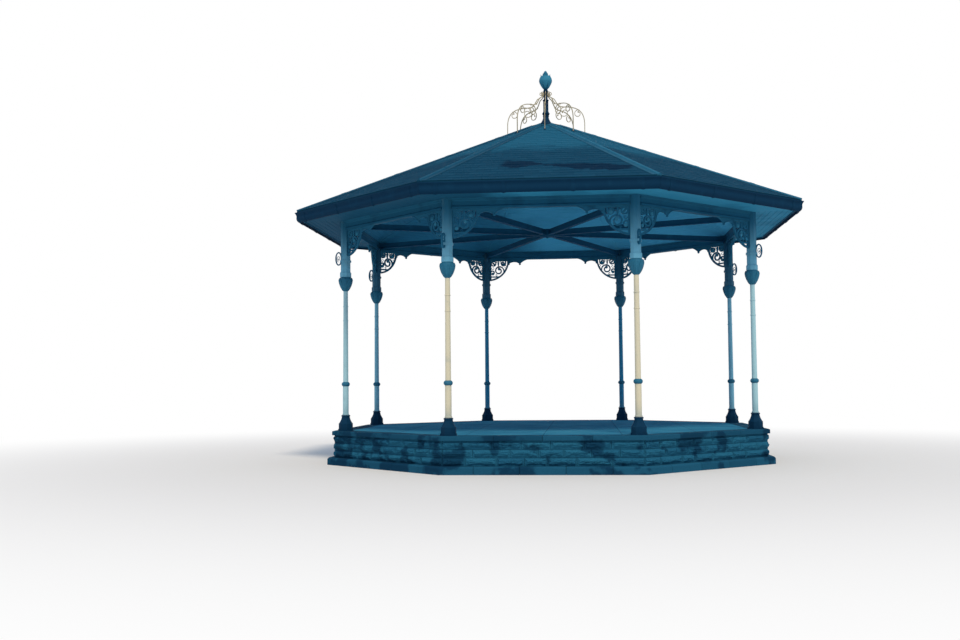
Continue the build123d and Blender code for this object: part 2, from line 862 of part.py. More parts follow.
def make_rib():
    """One scrolled bar of the ring, in the radial plane, from the slope to the rod."""
    foot = roof_surface(rib_foot)
    straight_top = foot + rib_straight
    band = rib_width * rib_curl_share
    tip = rod_radius + tip_curl_radius * (1 - mitre_share) + band / 2
    stem = Line((rib_foot, foot - rib_width), (rib_foot, straight_top))
    bow = Spline(
        (rib_foot, straight_top),
        (rib_shoulder, foot + rib_shoulder_height),
        (rib_crown, foot + rib_crown_height),
        (rib_dip, foot + rib_dip_height),
        (rib_rise, foot + rib_rise_height),
        (tip, foot + rib_tip_height),
        tangents=[(0, 1), (-1, 1)],
    )
    flat = trace(Wire([stem, bow]), line_width=rib_width)
    curls = [
        ((rib_shoulder, foot + rib_shoulder_height), (-1, 0), shoulder_curl_radius, shoulder_curl_quarters),
        ((crown_curl, foot + rib_crown_height), (-1, 0), crown_curl_radius, crown_curl_quarters),
        ((tip, foot + rib_tip_height), (-1, 1), tip_curl_radius, -tip_curl_quarters),
    ]
    for start, heading, radius, quarters in curls:
        flat = flat + scroll_strip(start, heading, 0, radius, quarters, band)
    plane = Plane(origin=(0, 0, 0), x_dir=(1, 0, 0), z_dir=(0, -1, 0))
    return extrude(plane * flat, amount=rib_thickness / 2, both=True)


def make_finial_scrolls(under, post):
    rib = make_rib()
    return [piece - under - post for piece in around(rib)]


os.makedirs("parts", exist_ok=True)

save("base_course", make_base_course())
save("plinth_wall", make_plinth_wall())
save("coping", make_coping())
save("floor_slab", [make_floor()])
save("plinth_fill", [make_fill()])

pedestal = make_pedestal()
pier = make_pier()
column = make_column(pier)
lintel = make_lintel()
spandrel = make_spandrel()
lug = make_lug()
save("pedestals", [at_corner(pedestal, index) for index in range(sides)])
for index in range(sides):
    save(f"column_{index + 1}", [at_corner(column, index)])
    save(f"brackets_{index + 1}", make_brackets(index, spandrel, lug, pier))
    save(f"lintel_{index + 1}", [Rot(0, 0, step_angle * index) * lintel])

save("tie_beams", make_ties(pier))
save("tie_hub", [make_hub()])
save("soffit", make_soffit())
save("ceiling", make_ceiling())
save("fascia", make_fascia())
save("gutter", make_gutter())
save("roof_slopes", make_roof_slopes())
save("hip_rafters", make_hip_rafters())
save("king_block", [make_king_block()])

roof_body = pyramid(0)
lifted_body = pyramid(cap_thickness)
finial_post = make_finial_post(lifted_body)
save("hip_rolls", make_hip_rolls(roof_body))
save("apex_cap", [make_cap(roof_body, lifted_body)])
save("finial_post", [finial_post])
save("finial_bud", [make_finial_bud()])
save("finial_scrolls", make_finial_scrolls(roof_body, finial_post))
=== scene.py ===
import bmesh
import bpy
import math
import numpy as np
from mathutils import Matrix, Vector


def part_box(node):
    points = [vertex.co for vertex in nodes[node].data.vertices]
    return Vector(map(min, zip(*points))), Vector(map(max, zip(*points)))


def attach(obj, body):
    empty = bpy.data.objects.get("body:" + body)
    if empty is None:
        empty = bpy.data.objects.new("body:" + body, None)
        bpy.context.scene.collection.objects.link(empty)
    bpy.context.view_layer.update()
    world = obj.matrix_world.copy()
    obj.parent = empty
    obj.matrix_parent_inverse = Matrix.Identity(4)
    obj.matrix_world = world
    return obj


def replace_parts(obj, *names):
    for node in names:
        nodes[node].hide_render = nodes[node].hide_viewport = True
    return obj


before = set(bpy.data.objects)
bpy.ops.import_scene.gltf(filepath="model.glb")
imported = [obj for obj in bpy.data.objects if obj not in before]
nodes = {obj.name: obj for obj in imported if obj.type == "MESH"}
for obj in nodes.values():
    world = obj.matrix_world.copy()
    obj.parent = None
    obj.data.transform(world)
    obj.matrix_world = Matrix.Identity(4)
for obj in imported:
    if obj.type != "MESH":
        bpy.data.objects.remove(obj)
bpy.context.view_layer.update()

# View of the whole
# The bandstand is seen from about twenty metres in front of it by a standing person, looking slightly up.
# The camera stands a little to the right of the middle of the front side.
eye = (0.723, -24.407, 1.62)
heading = 0.0923
look_up = 0.060
lean = -0.0084
lens = 40.95
camera = bpy.data.objects.new("camera", bpy.data.cameras.new("camera"))
camera.data.lens = lens
camera.matrix_world = (
    Matrix.Translation(eye)
    @ Matrix.Rotation(heading, 4, "Z")
    @ Matrix.Rotation(math.pi / 2 + look_up, 4, "X")
    @ Matrix.Rotation(lean, 4, "Z")
)
bpy.context.scene.collection.objects.link(camera)
bpy.context.scene.camera = camera
bpy.context.scene.view_settings.view_transform = "Standard"


# Light and floor
# A high soft key stands in front and to the right, so the eaves shade the far columns as in the open air.
# The floor is a pale disc that fades to the white background.

class Wire:
    """One output of a shader node; sums on it, from either side, add Math nodes."""

    def __init__(self, paint, socket):
        self.paint = paint
        self.socket = socket

    def out(self, name):
        return Wire(self.paint, self.socket.node.outputs[name])

    def __add__(self, other):
        return self.paint.maths("ADD", self, other)

    def __sub__(self, other):
        return self.paint.maths("SUBTRACT", self, other)

    def __rsub__(self, other):
        return self.paint.maths("SUBTRACT", other, self)

    def __mul__(self, other):
        return self.paint.maths("MULTIPLY", self, other)

    def __gt__(self, other):
        return self.paint.maths("GREATER_THAN", self, other)

    def __lt__(self, other):
        return self.paint.maths("LESS_THAN", self, other)

    def __abs__(self):
        return self.paint.maths("ABSOLUTE", self)

    def step(self, low, high, below=0.0, above=1.0):
        """One number below low and another above high, with a smooth change between."""
        ends = {0: self, "From Min": low, "From Max": high, "To Min": below, "To Max": above}
        return self.paint.node("ShaderNodeMapRange", {"interpolation_type": "SMOOTHSTEP"}, ends)

    def between(self, low, high):
        """low where the wire is 0, high where it is 1."""
        return self * (high - low) + low

    __radd__ = __add__
    __rmul__ = __mul__


class Paint:
    """A node tree to which nodes are added by one method."""

    def __init__(self, tree):
        self.tree = tree
        tree.nodes.clear()

    def node(self, kind, settings=None, inputs=None):
        """Add one node: its settings first, then the values or wires of its sockets."""
        made = self.tree.nodes.new(kind)
        for name, value in (settings or {}).items():
            setattr(made, name, value)
        for name, value in (inputs or {}).items():
            if isinstance(value, Wire):
                self.tree.links.new(value.socket, made.inputs[name])
            else:
                made.inputs[name].default_value = value
        return Wire(self, made.outputs[0]) if made.outputs else made

    def maths(self, operation, *values):
        """One Math node on wires and numbers."""
        return self.node("ShaderNodeMath", {"operation": operation}, dict(enumerate(values)))

    def mix(self, share, first, second):
        """Colour between two colours, which are sockets 6 and 7 of a Mix node set to colours."""
        return self.node("ShaderNodeMix", {"data_type": "RGBA"}, {0: share, 6: first, 7: second}).out(2)

    def blend(self, share, first, second):
        """Shader between two shaders."""
        return self.node("ShaderNodeMixShader", {}, {0: share, 1: first, 2: second})

    def seen_directly(self):
        """1 for rays of the camera, and for those that a gloss or a glass sends on."""
        path = self.node("ShaderNodeLightPath")
        rays = path.out("Is Camera Ray") + path.out("Is Glossy Ray") + path.out("Is Transmission Ray")
        return self.maths("MINIMUM", rays, 1.0)


def tint(red, green, blue):
    """Linear colour from screen values of 0 to 255: a power of 2.4 with a straight part near black."""
    screen = np.array([red, green, blue]) / 255
    linear = np.where(screen > 0.04045, ((screen + 0.055) / 1.055) ** 2.4, screen / 12.92)
    return (*linear.tolist(), 1.0)


def coords(*parts):
    """Points from their coordinates, each an array or one number for all the points."""
    return np.stack(np.broadcast_arrays(*parts), axis=-1)


def circle(count, start=0.0):
    """Cosines and sines of even angles once round."""
    angle = start + np.arange(count) * 2 * math.pi / count
    return np.cos(angle), np.sin(angle)


ambient_strength = 0.72
ambient_tint = tint(210, 225, 248)
key_strength = 1.9
key_tint = tint(255, 242, 222)
key_height = 52
key_side = 16
key_softness = 10
floor_radius = 70.0
floor_edges = 96
floor_fade_start = 8.0
floor_fade_end = 20.0
floor_tint = tint(236, 233, 228)
white = (1.0, 1.0, 1.0, 1.0)

world = bpy.data.worlds.new("studio")
bpy.context.scene.world = world
world.use_nodes = True
sky = Paint(world.node_tree)
sky_light = sky.node("ShaderNodeBackground", {}, {"Color": ambient_tint, "Strength": ambient_strength})
sky_white = sky.node("ShaderNodeBackground", {}, {"Color": white, "Strength": 1.0})
sky.node("ShaderNodeOutputWorld", {}, {0: sky.blend(sky.seen_directly(), sky_light, sky_white)})

key = bpy.data.objects.new("key_light", bpy.data.lights.new("key_light", "SUN"))
key.data.energy = key_strength
key.data.color = key_tint[:3]
key.data.angle = math.radians(key_softness)
key.matrix_world = (
    Matrix.Rotation(math.radians(key_side), 4, "Z") @ Matrix.Rotation(math.radians(90 - key_height), 4, "X")
)
bpy.context.scene.collection.objects.link(key)

floor_points = coords(*circle(floor_edges), 0.0) * floor_radius
floor_mesh = bpy.data.meshes.new("floor")
floor_mesh.from_pydata(floor_points.tolist(), [], [list(range(floor_edges))])
floor = bpy.data.objects.new("floor", floor_mesh)
bpy.context.scene.collection.objects.link(floor)
floor_finish = bpy.data.materials.new("floor")
floor_finish.use_nodes = True
ground = Paint(floor_finish.node_tree)
ground_place = ground.node("ShaderNodeTexCoord").out("Object")
distance = ground.node("ShaderNodeVectorMath", {"operation": "LENGTH"}, {0: ground_place}).out("Value")
ground_fade = distance.step(floor_fade_start, floor_fade_end) * ground.seen_directly()
ground_matt = ground.node("ShaderNodeBsdfDiffuse", {}, {"Color": floor_tint})
ground_white = ground.node("ShaderNodeEmission", {}, {"Color": white})
ground.node("ShaderNodeOutputMaterial", {}, {0: ground.blend(ground_fade, ground_matt, ground_white)})
floor.data.materials.append(floor_finish)


# Plinth wall
# Three courses of rock-faced stone blocks with drafted margins, bedded in mortar round the rubble core.
# The core of the wall stays as the mortar that shows in the joints.

empty_edge = 0.00001


def skin(name, rings, finish, tones=None, smooth=False):
    """Closed surfaces through rings of points.

    rings has the shape (copies, rings, points, 3). Each ring is joined to the next by quads, and the first
    and the last ring of each copy are closed by a face each. Faces without area are taken out. tones gives
    each copy a number from 0 to 1.
    """
    copies, count, around, _ = rings.shape
    corner = np.arange(count * around).reshape(count, around)
    beside = np.roll(corner, -1, axis=1)
    quads = np.stack([corner[:-1], beside[:-1], beside[1:], corner[1:]], axis=-1).reshape(-1, 4)
    starts = np.arange(copies)[:, None] * count * around
    faces = (quads[None] + starts[:, None]).reshape(-1, 4).tolist()
    faces += (corner[0][::-1] + starts).tolist() + (corner[-1] + starts).tolist()
    mesh = bpy.data.meshes.new(name)
    mesh.from_pydata(rings.reshape(-1, 3).tolist(), [], faces)
    if tones is not None:
        layer = mesh.attributes.new("tone", "FLOAT", "POINT")
        layer.data.foreach_set("value", np.repeat(np.asarray(tones, float), count * around))
    whole = bmesh.new()
    whole.from_mesh(mesh)
    bmesh.ops.dissolve_degenerate(whole, dist=empty_edge, edges=whole.edges)
    bmesh.ops.recalc_face_normals(whole, faces=whole.faces)
    whole.to_mesh(mesh)
    whole.free()
    mesh.polygons.foreach_set("use_smooth", [smooth] * len(mesh.polygons))
    mesh.materials.append(finish)
    piece = bpy.data.objects.new(name, mesh)
    bpy.context.scene.collection.objects.link(piece)
    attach(piece, "root")
    return piece


def dress(node, material):
    """Give a node of the frame a material of this file."""
    slots = nodes[node].data.materials
    slots.clear()
    slots.append(material)


def turned(points, degrees):
    """Points turned about the upright axis, one copy for each angle in a list, joined on the first axis."""
    angles = np.radians(degrees)[:, None]
    flat = points.reshape(-1, 3)
    x = np.cos(angles) * flat[:, 0] - np.sin(angles) * flat[:, 1]
    y = np.sin(angles) * flat[:, 0] + np.cos(angles) * flat[:, 1]
    return coords(x, y, flat[:, 2]).reshape((len(degrees),) + points.shape)


def all_round(points):
    """Copies of a stack of pieces, one stack for each of the eight sides."""
    return turned(points, side_turns).reshape((-1,) + points.shape[1:])


def coarse_noise(points, size, seed):
    """Smooth unevenness from about -1 to 1: the mean of plane waves in drawn directions and phases."""
    draw = np.random.default_rng(seed)
    waves = draw.normal(size=(3, wave_count)) * (2 * math.pi / size)
    phases = draw.uniform(0, 2 * math.pi, wave_count)
    return np.sin(points @ waves + phases).mean(axis=-1) * wave_gain


def rectangle_ring(count):
    """Directions round a square of half-width 1: the circle's points divided by their larger part."""
    ring = coords(*circle(count, start=math.pi / 4))
    return ring / np.abs(ring).max(axis=1, keepdims=True)


def finish_of(name, *colours):
    """Start a material: its Paint, its colours as tints, and the function that closes it."""
    material = bpy.data.materials.new(name)
    material.use_nodes = True
    paint = Paint(material.node_tree)

    def close(colour, bump, rise, roughness, shine):
        """End it: the colour, a bump and its rise in metres, the roughness, and how much it reflects."""
        normal = paint.node("ShaderNodeBump", {}, {"Height": bump, "Distance": rise})
        inputs = {"Base Color": colour, "Roughness": roughness, "Specular IOR Level": shine, "Normal": normal}
        shader = paint.node("ShaderNodeBsdfPrincipled", {}, inputs)
        paint.node("ShaderNodeOutputMaterial", {}, {0: shader})
        return material

    return paint, [tint(*colour) for colour in colours], close


def noise(paint, size, detail):
    """Fractal noise from 0 to 1 with features of a size in metres, and finer ones by the detail."""
    place = paint.node("ShaderNodeTexCoord").out("Object")
    return paint.node("ShaderNodeTexNoise", {}, {"Vector": place, "Scale": 1 / size, "Detail": detail})


def place_of(paint, axis):
    """One coordinate of the place on the object, with Z the height above the ground."""
    place = paint.node("ShaderNodeTexCoord").out("Object")
    return paint.node("ShaderNodeSeparateXYZ", {}, {0: place}).out(axis)


def tone_of(paint):
    """The number from 0 to 1 that each stone or slate has of its own."""
    return paint.node("ShaderNodeAttribute", {"attribute_name": "tone"}).out("Fac")


def stone_finish(name, dark, middle, light, grain, rise):
    """Quarried stone: a tone for each block, a gritty grain, clouded stains, and painted shade towards the
    left.
    """
    paint, (shade, body, face), close = finish_of(name, dark, middle, light)
    grit = noise(paint, grain, detail=6.0)
    # Painted shade: the stains grow denser towards the left.
    left_shade = place_of(paint, "X").step(low=-3.6, high=-1.6, below=0.07, above=0.0)
    stain = (noise(paint, size=0.55, detail=5.0) + left_shade).step(low=0.51, high=0.59, above=0.75)
    block = paint.mix(tone_of(paint), body, face)
    speckled = paint.mix(grit.step(low=0.35, high=0.75, above=0.4), block, shade)
    return close(paint.mix(stain, speckled, shade), grit, rise, roughness=0.9, shine=0.02)


sides = 8
side_turns = np.arange(sides) * 360 / sides
half_side = math.tan(math.pi / sides)
wave_count = 12
wave_gain = 1.8
wall_stone = stone_finish("wall_stone", (11, 44, 70), (34, 94, 122), (41, 107, 134), grain=0.012, rise=0.004)
wall_mortar = stone_finish("wall_mortar", (12, 42, 66), (24, 70, 94), (30, 80, 104), grain=0.006, rise=0.002)

wall_low, wall_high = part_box("plinth_wall")
wall_face = wall_high.y
block_courses = 3
blocks_a_side = 7
block_joint = 0.010
block_depth = 0.012
bond_shift = 0.14
cut_wander = 0.055
course_height = (wall_high.z - wall_low.z) / block_courses
draw = np.random.default_rng(seed=7)
block_spans = []
for side in range(sides):
    for course in range(block_courses):
        cuts = np.linspace(-1, 1, blocks_a_side + 1)
        cuts[1:-1] += draw.uniform(-cut_wander, cut_wander, blocks_a_side - 1)
        cuts[1:-1] += (course % 2 - 0.5) * bond_shift
        block_spans += [(side, start, end, course) for start, end in zip(cuts[:-1], cuts[1:])]
block_spans = np.array(block_spans)
wall_tones = draw.uniform(0, 1, len(block_spans))

margin_width = 0.016
margin_proud = 0.008
rock_bulge = 0.036
rock_rough = 0.45
side_spacing = 11
rock_waves = ((1.0, 0.20, 3), (0.7, 0.075, 4), (0.3, 0.035, 6))
smallest_half = (0.02, 0.01)
block_ring = rectangle_ring(count=40)
# Each ring of a block, from its back edge over its front edge to the middle of its face: how far in from the
# edge it lies, its share of the bulge and its share of the roughness.
ring_in, ring_bulge, ring_rough = np.array([
    (0.0, 0.0, 0.0),
    (0.0, 0.0, 0.0),
    (margin_width, 0.0, 0.10),
    (margin_width + 0.010, 0.34, 0.75),
    (0.036, 0.60, 1.0),
    (0.048, 0.75, 1.0),
    (0.060, 0.85, 1.0),
    (0.070, 0.88, 1.0),
]).T
ring_out = margin_proud + rock_bulge * ring_bulge
ring_out[0] = -block_depth


def wall_blocks(spans, face, low, height):
    """Rings of each block: its back edge, front edge and margin, then the rough face towards the middle.

    A point lies at x = s times the half-width of the side at its distance out, where s runs from -1 to 1, so
    the joints stay square to the face and the last blocks meet at the corner. The roughness is a sum of waves
    of three sizes, drawn at places that are set apart from side to side.
    """
    side, start, end, course = spans.T
    half_length = (end - start) / 2 * half_side * face - block_joint / 2
    half_height = height / 2 - block_joint / 2
    middle = (start + end) / 2 * half_side * face
    along = np.maximum(half_length[:, None] - ring_in, smallest_half[0])[:, :, None] * block_ring[:, 0]
    upward = np.maximum(half_height - ring_in, smallest_half[1])[:, None] * block_ring[:, 1]
    x = middle[:, None, None] + along
    z = low + (course[:, None, None] + 0.5) * height + upward
    flat = coords(x + side_spacing * side[:, None, None], 0.0, z)
    rough = sum(weight * coarse_noise(flat, size, seed) for weight, size, seed in rock_waves)
    out = face + ring_out[None, :, None] + rough * ring_rough[None, :, None] * rock_bulge * rock_rough
    x = x * out / face
    turn = side[:, None, None] * math.radians(360 / sides)
    return coords(np.cos(turn) * x + np.sin(turn) * out, np.sin(turn) * x - np.cos(turn) * out, z)


wall_rings = wall_blocks(block_spans, wall_face, wall_low.z, course_height)
skin("wall_blocks", wall_rings, wall_stone, wall_tones)
dress("plinth_wall", wall_mortar)


# Base course and coping
# Dressed stones with rubbed faces and fine joints. The base course is chamfered on top. The coping has a
# round nose and a drip groove, and both have stones that turn the corners.

def stone_course(section, cuts, gap, arris):
    """Rings of the stones of a course, from a section of points (out, z).

    A ring lies at x = a + b * out on its side. Straight stones lie between two cuts of one side. A corner
    stone runs from the last cut of a side (a = cut, b = 0) through the mitre (a = 0, b = half_side) to the
    first cut of the next side. The rings at the joints are drawn in towards the middle of the section, which
    rounds the arrises.
    """
    centre = (section.min(axis=0) + section.max(axis=0)) / 2
    drawn_in = centre + (section - centre) * (1 - 2 * arris / np.ptp(section, axis=0))
    inside = gap / 2 + arris
    stones = []
    for start, end in zip(cuts[:-1], cuts[1:]):
        ends = (start + gap / 2, start + inside, (start + end) / 2, end - inside, end - gap / 2)
        stones.append([(0, place, 0) for place in ends])
    last = cuts[-1]
    near = [(0, last + gap / 2, 0), (0, last + inside, 0)]
    stones.append(near + [(0, 0, half_side), (1, -last - inside, 0), (1, -last - gap / 2, 0)])
    rings = []
    for stone in stones:
        for number, (side, constant, share) in enumerate(stone):
            out, z = (drawn_in if number in (0, len(stone) - 1) else section).T
            ring = coords(constant + share * out, -out, z)
            rings.append(turned(ring, [side * 360 / sides])[0])
    return all_round(np.array(rings).reshape(len(stones), len(stones[0]), -1, 3))


def rounded(centre, radius, start, end, count):
    """Points on an arc of a section, from one angle to another in degrees."""
    angle = np.radians(np.linspace(start, end, count))
    return np.array(centre) + radius * coords(np.cos(angle), np.sin(angle))


stone_joint = 0.006
base_arris = 0.004
base_chamfer = 0.030
base_cuts = np.array([-1.26, -0.42, 0.42, 1.26])
base_low, base_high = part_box("base_course")
base_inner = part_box("plinth_fill")[1].y
base_section = np.array([
    (base_inner, base_low.z),
    (base_high.y, base_low.z),
    (base_high.y, base_high.z - base_chamfer),
    (base_high.y - base_chamfer, base_high.z),
    (base_inner, base_high.z),
])
base_stone = stone_finish("base_stone", (11, 44, 70), (29, 82, 108), (35, 93, 120), grain=0.010, rise=0.003)
base_rings = stone_course(base_section, base_cuts, stone_joint, base_arris)
base_tones = draw.uniform(0, 1, len(base_rings))
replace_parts(skin("base_stones", base_rings, base_stone, base_tones), "base_course")

coping_arris = 0.002
lower_arris = 0.004
nose_radius = 0.024
drip_in = 0.038
drip_width = 0.012
drip_depth = 0.009
floor_gap = 0.005
coping_cuts = np.array([-0.9, 0.0, 0.9])
coping_low, coping_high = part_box("coping")
coping_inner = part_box("floor_slab")[1].y + floor_gap
drip_inner, drip_outer = coping_high.y - drip_in, coping_high.y - drip_in + drip_width
coping_section = np.concatenate([
    [(coping_inner, coping_low.z), (drip_inner, coping_low.z), (drip_inner, coping_low.z + drip_depth)],
    [(drip_outer, coping_low.z + drip_depth), (drip_outer, coping_low.z)],
    rounded((coping_high.y - lower_arris, coping_low.z + lower_arris), lower_arris, -90, 0, count=2),
    rounded((coping_high.y - nose_radius, coping_high.z - nose_radius), nose_radius, 0, 90, count=6),
    [(coping_inner, coping_high.z)],
])
coping_stone = stone_finish(
    "coping_stone", (13, 46, 70), (25, 74, 99), (32, 86, 112), grain=0.008, rise=0.002
)
coping_rings = stone_course(coping_section, coping_cuts, stone_joint, coping_arris)
coping_tones = draw.uniform(0, 1, len(coping_rings))
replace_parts(skin("coping_stones", coping_rings, coping_stone, coping_tones), "coping")


# Floor and fill
# Trowelled concrete inside the coping, cut into bays by fine joints, over packed rubble that shows only from
# below.

def concrete(name, dark, body, worn):
    """Concrete: bays with fine cut joints, cloudy wear and sand grains.

    The distance to the nearest joint is the coordinate folded back and forth over half a bay.
    """
    paint, (shade, middle, face), close = finish_of(name, dark, body, worn)
    folded = [paint.maths("PINGPONG", place_of(paint, axis), floor_bay / 2) for axis in "XY"]
    joint = 1 - paint.maths("MINIMUM", *folded).step(floor_line / 2, floor_line)
    cloud = noise(paint, size=0.9, detail=6.0).step(low=0.35, high=0.70)
    sand = noise(paint, size=0.004, detail=4.0)
    speck = sand.step(low=0.42, high=0.70, above=0.35)
    speckled = paint.mix(speck, paint.mix(cloud, middle, face), shade)
    jointed = paint.mix(joint * joint_shade, speckled, shade)
    return close(jointed, sand - joint * joint_fall, rise=0.001, roughness=0.9, shine=0.01)


floor_bay = 1.45
floor_line = 0.010
joint_shade = 0.8
joint_fall = 2.0
dress("floor_slab", concrete("floor_concrete", (26, 76, 102), (46, 120, 152), (60, 138, 168)))
rubble = stone_finish("rubble", (20, 40, 50), (60, 78, 86), (90, 100, 104), grain=0.05, rise=0.01)
dress("plinth_fill", rubble)


# Pedestals and columns
# Eight slender iron castings, bolted down on octagonal pedestals and painted in gloss. The shafts go from
# cream in front to blue behind, which is painted shade, and the collars and heart-shaped capitals are blue.
# The octagonal piers are a light blue, with painted shade that darkens them under the eaves and on the far
# columns.

def gloss_paint(name, colour, worn, roughness=0.6, shine=0.03):
    """Brushed gloss paint on iron: dirt in clouds, the grain of the casting and a dulled, uneven gloss."""
    paint, (body, dirt), close = finish_of(name, colour, worn)
    cloud = noise(paint, size=0.22, detail=5.0)
    casting = noise(paint, size=0.006, detail=3.0)
    dirty = paint.mix(cloud.step(low=0.52, high=0.75, above=0.55), body, dirt)
    gloss = cloud.between(low=roughness - 0.10, high=roughness + 0.15)
    return close(dirty, casting, rise=0.0006, roughness=gloss, shine=shine)


def column_finish(name, shafts, bands, eave_shade, far_pier_shade, worn):
    """Gloss paint on a column: the shaft's own paint, with bands of other paint above certain heights.

    shafts lists a place along Y and the colour there, from the cream front to the blue back, which is painted
    shade, and the colours blend in between. A band without a colour is shaft again. The last band fades to a
    painted shade under the eaves between two heights, and to a darker painted shade of the far piers between
    two places along Y. Dirt gathers in clouds and near the foot.
    """
    paint, (dirt, top, far), close = finish_of(name, worn, eave_shade[2], far_pier_shade[2])
    height = place_of(paint, "Z")
    depth = place_of(paint, "Y")
    cloud = noise(paint, size=0.25, detail=5.0)
    # Painted shade: the shaft colours go from cream in front to blue at the back.
    shaft = tint(*shafts[0][1])
    for (start, _), (end, next_colour) in zip(shafts[:-1], shafts[1:]):
        shaft = paint.mix(depth.step(start, end), shaft, tint(*next_colour))
    colour = shaft
    for start, own in bands:
        colour = paint.mix(height > start, colour, tint(*own) if own else shaft)
    # Painted shade: the piers darken towards the top, under the eaves.
    colour = paint.mix((height + cloud * eave_shade_wander).step(*eave_shade[:2]), colour, top)
    on_pier = height > bands[-1][0]
    # Painted shade: the piers of the far columns darken.
    colour = paint.mix(depth.step(*far_pier_shade[:2], above=0.85) * on_pier, colour, far)
    splash = (height + cloud * splash_wander).step(low=1.12, high=1.45, below=0.4, above=0.0)
    grime = paint.maths("MAXIMUM", cloud.step(low=0.55, high=0.76, above=0.3), splash)
    casting = noise(paint, size=0.006, detail=3.0)
    gloss = cloud.between(low=0.40, high=0.65)
    return close(paint.mix(grime, colour, dirt), casting, rise=0.0006, roughness=gloss, shine=0.1)


def dress_eight(stem, material):
    """Give the eight numbered nodes of one kind the same material."""
    for number in range(1, sides + 1):
        dress(f"{stem}_{number}", material)


def arc_through(first, middle, last, count):
    """Points on the circle through three points of a section, at even angles from the first to the last.

    The centre is at equal distances from the three, which is a pair of linear equations.
    """
    three = np.array([first, middle, last], float)
    squares = (three ** 2).sum(axis=1)
    centre = np.linalg.solve(2 * (three[1:] - three[0]), squares[1:] - squares[0])
    spokes = three - centre
    angles = np.unwrap(np.arctan2(spokes[:, 1], spokes[:, 0]))
    sweep = np.linspace(angles[0], angles[2], count)
    return centre + np.linalg.norm(spokes[0]) * coords(np.cos(sweep), np.sin(sweep))


def two_arcs(points, counts):
    """Five points of a section joined by a circle through the first three and one through the last three."""
    return np.concatenate([arc_through(*points[:3], counts[0]), arc_through(*points[2:], counts[1])[1:]])


def unit(vectors):
    """Vectors of length 1 along the last axis."""
    return vectors / np.linalg.norm(vectors, axis=-1, keepdims=True)


def tube(paths, radii, count, across=(0.0, 0.0, 1.0)):
    """Rings of a round bar along each path: at every point a circle square to the path.

    paths has the shape (copies, rings, 3), and radii is one number or one for each ring. The circle's first
    direction is the path's own crossed with a fixed one, and its second is square to both.
    """
    along = unit(np.gradient(paths, axis=1))
    side = unit(np.cross(along, across))
    lift = np.cross(side, along)
    cosines, sines = circle(count)
    ring = cosines[:, None] * side[..., None, :] + sines[:, None] * lift[..., None, :]
    return paths[..., None, :] + np.asarray(radii)[..., None, None] * ring


eave_shade_wander = 0.2
splash_wander = 0.25
# Cream in front to blue behind: painted shade on the rear shafts.
shaft_paint_and_shade = [
    (-4.1, (216, 208, 180)),
    (-1.9, (162, 202, 210)),
    (1.9, (124, 186, 208)),
    (4.1, (48, 136, 174)),
]
collar_blue = (40, 104, 132)
capital_blue = (42, 108, 136)
pier_blue = (106, 172, 198)
# Colours of the painted shade on the piers: under the eaves, and on the far columns.
pier_eave_shade = (30, 96, 126)
pier_far_shade = (22, 74, 102)
column_worn = (104, 140, 152)
collar_low, collar_high = 1.630, 1.720
capital_low, capital_high = 3.630, 3.930
column_paint = column_finish(
    "column_paint",
    shaft_paint_and_shade,
    [(collar_low, collar_blue), (collar_high, None), (capital_low, capital_blue), (capital_high, pier_blue)],
    eave_shade=(4.10, 5.10, pier_eave_shade),
    far_pier_shade=(-0.6, 0.9, pier_far_shade),
    worn=column_worn,
)
dress("pedestals", gloss_paint("pedestal_paint", (14, 52, 78), (26, 64, 88)))
dress_eight("column", column_paint)

column_radius = 4.570
corner_turns = side_turns - 90 + 180 / sides
column_feet = turned(np.array([column_radius, 0.0, 0.0]), corner_turns)


def at_columns(points):
    """Copies of points drawn about the middle of a column, moved to all eight columns unturned."""
    feet = column_feet.reshape((sides,) + (1,) * (points.ndim - 1) + (3,))
    return (points[None] + feet).reshape((-1,) + points.shape[1:])


bell_points = [
    (0.047, capital_low), (0.12188, 3.750), (0.151, 3.870), (0.14232, 3.900), (0.120, capital_high)
]
bell = two_arcs(bell_points, counts=(12, 5))
rib_radius = 0.0042
midrib_points, vein_points = 12, 4
midrib_taper, vein_taper = (1.3, 0.5), (0.8, 0.4)
midrib_heights = np.linspace(3.645, 3.912, midrib_points)
midrib = coords(np.interp(midrib_heights, bell[:, 1], bell[:, 0]), 0.0, midrib_heights)
vein_starts = np.array([3.70, 3.745, 3.79, 3.83])
vein_spread = np.array([0.16, 0.21, 0.22, 0.17])
vein_rise = 0.034
vein_share = np.linspace(0, 1, vein_points)
vein_heights = vein_starts[:, None] + vein_rise * vein_share
vein_angles = np.array([1.0, -1.0])[:, None, None] * vein_spread[:, None] * vein_share
vein_reach = np.interp(vein_heights, bell[:, 1], bell[:, 0])
veins = coords(vein_reach * np.cos(vein_angles), vein_reach * np.sin(vein_angles), vein_heights)
veins = turned(veins, side_turns).reshape(-1, vein_points, 3)
midrib_bar = np.linspace(*midrib_taper, midrib_points) * rib_radius
vein_bar = np.linspace(*vein_taper, vein_points) * rib_radius
leaf_midribs = tube(turned(midrib, side_turns), midrib_bar, count=6)
leaf_veins = tube(veins, vein_bar, count=5)
# Painted highlight: the ribs and veins are a paler blue than the capital they lie on.
rib_highlight_paint = gloss_paint("rib_highlight_paint", (56, 124, 152), capital_blue)
skin("leaf_midribs", at_columns(leaf_midribs), rib_highlight_paint, smooth=True)
skin("leaf_veins", at_columns(leaf_veins), rib_highlight_paint, smooth=True)


# Brackets
# Openwork cast-iron spandrels, bolted through thin flanges to the pier and to the underside of the lintel on
# both sides of each column, with a loop on the outer face of the pier. They are painted blue over navy.

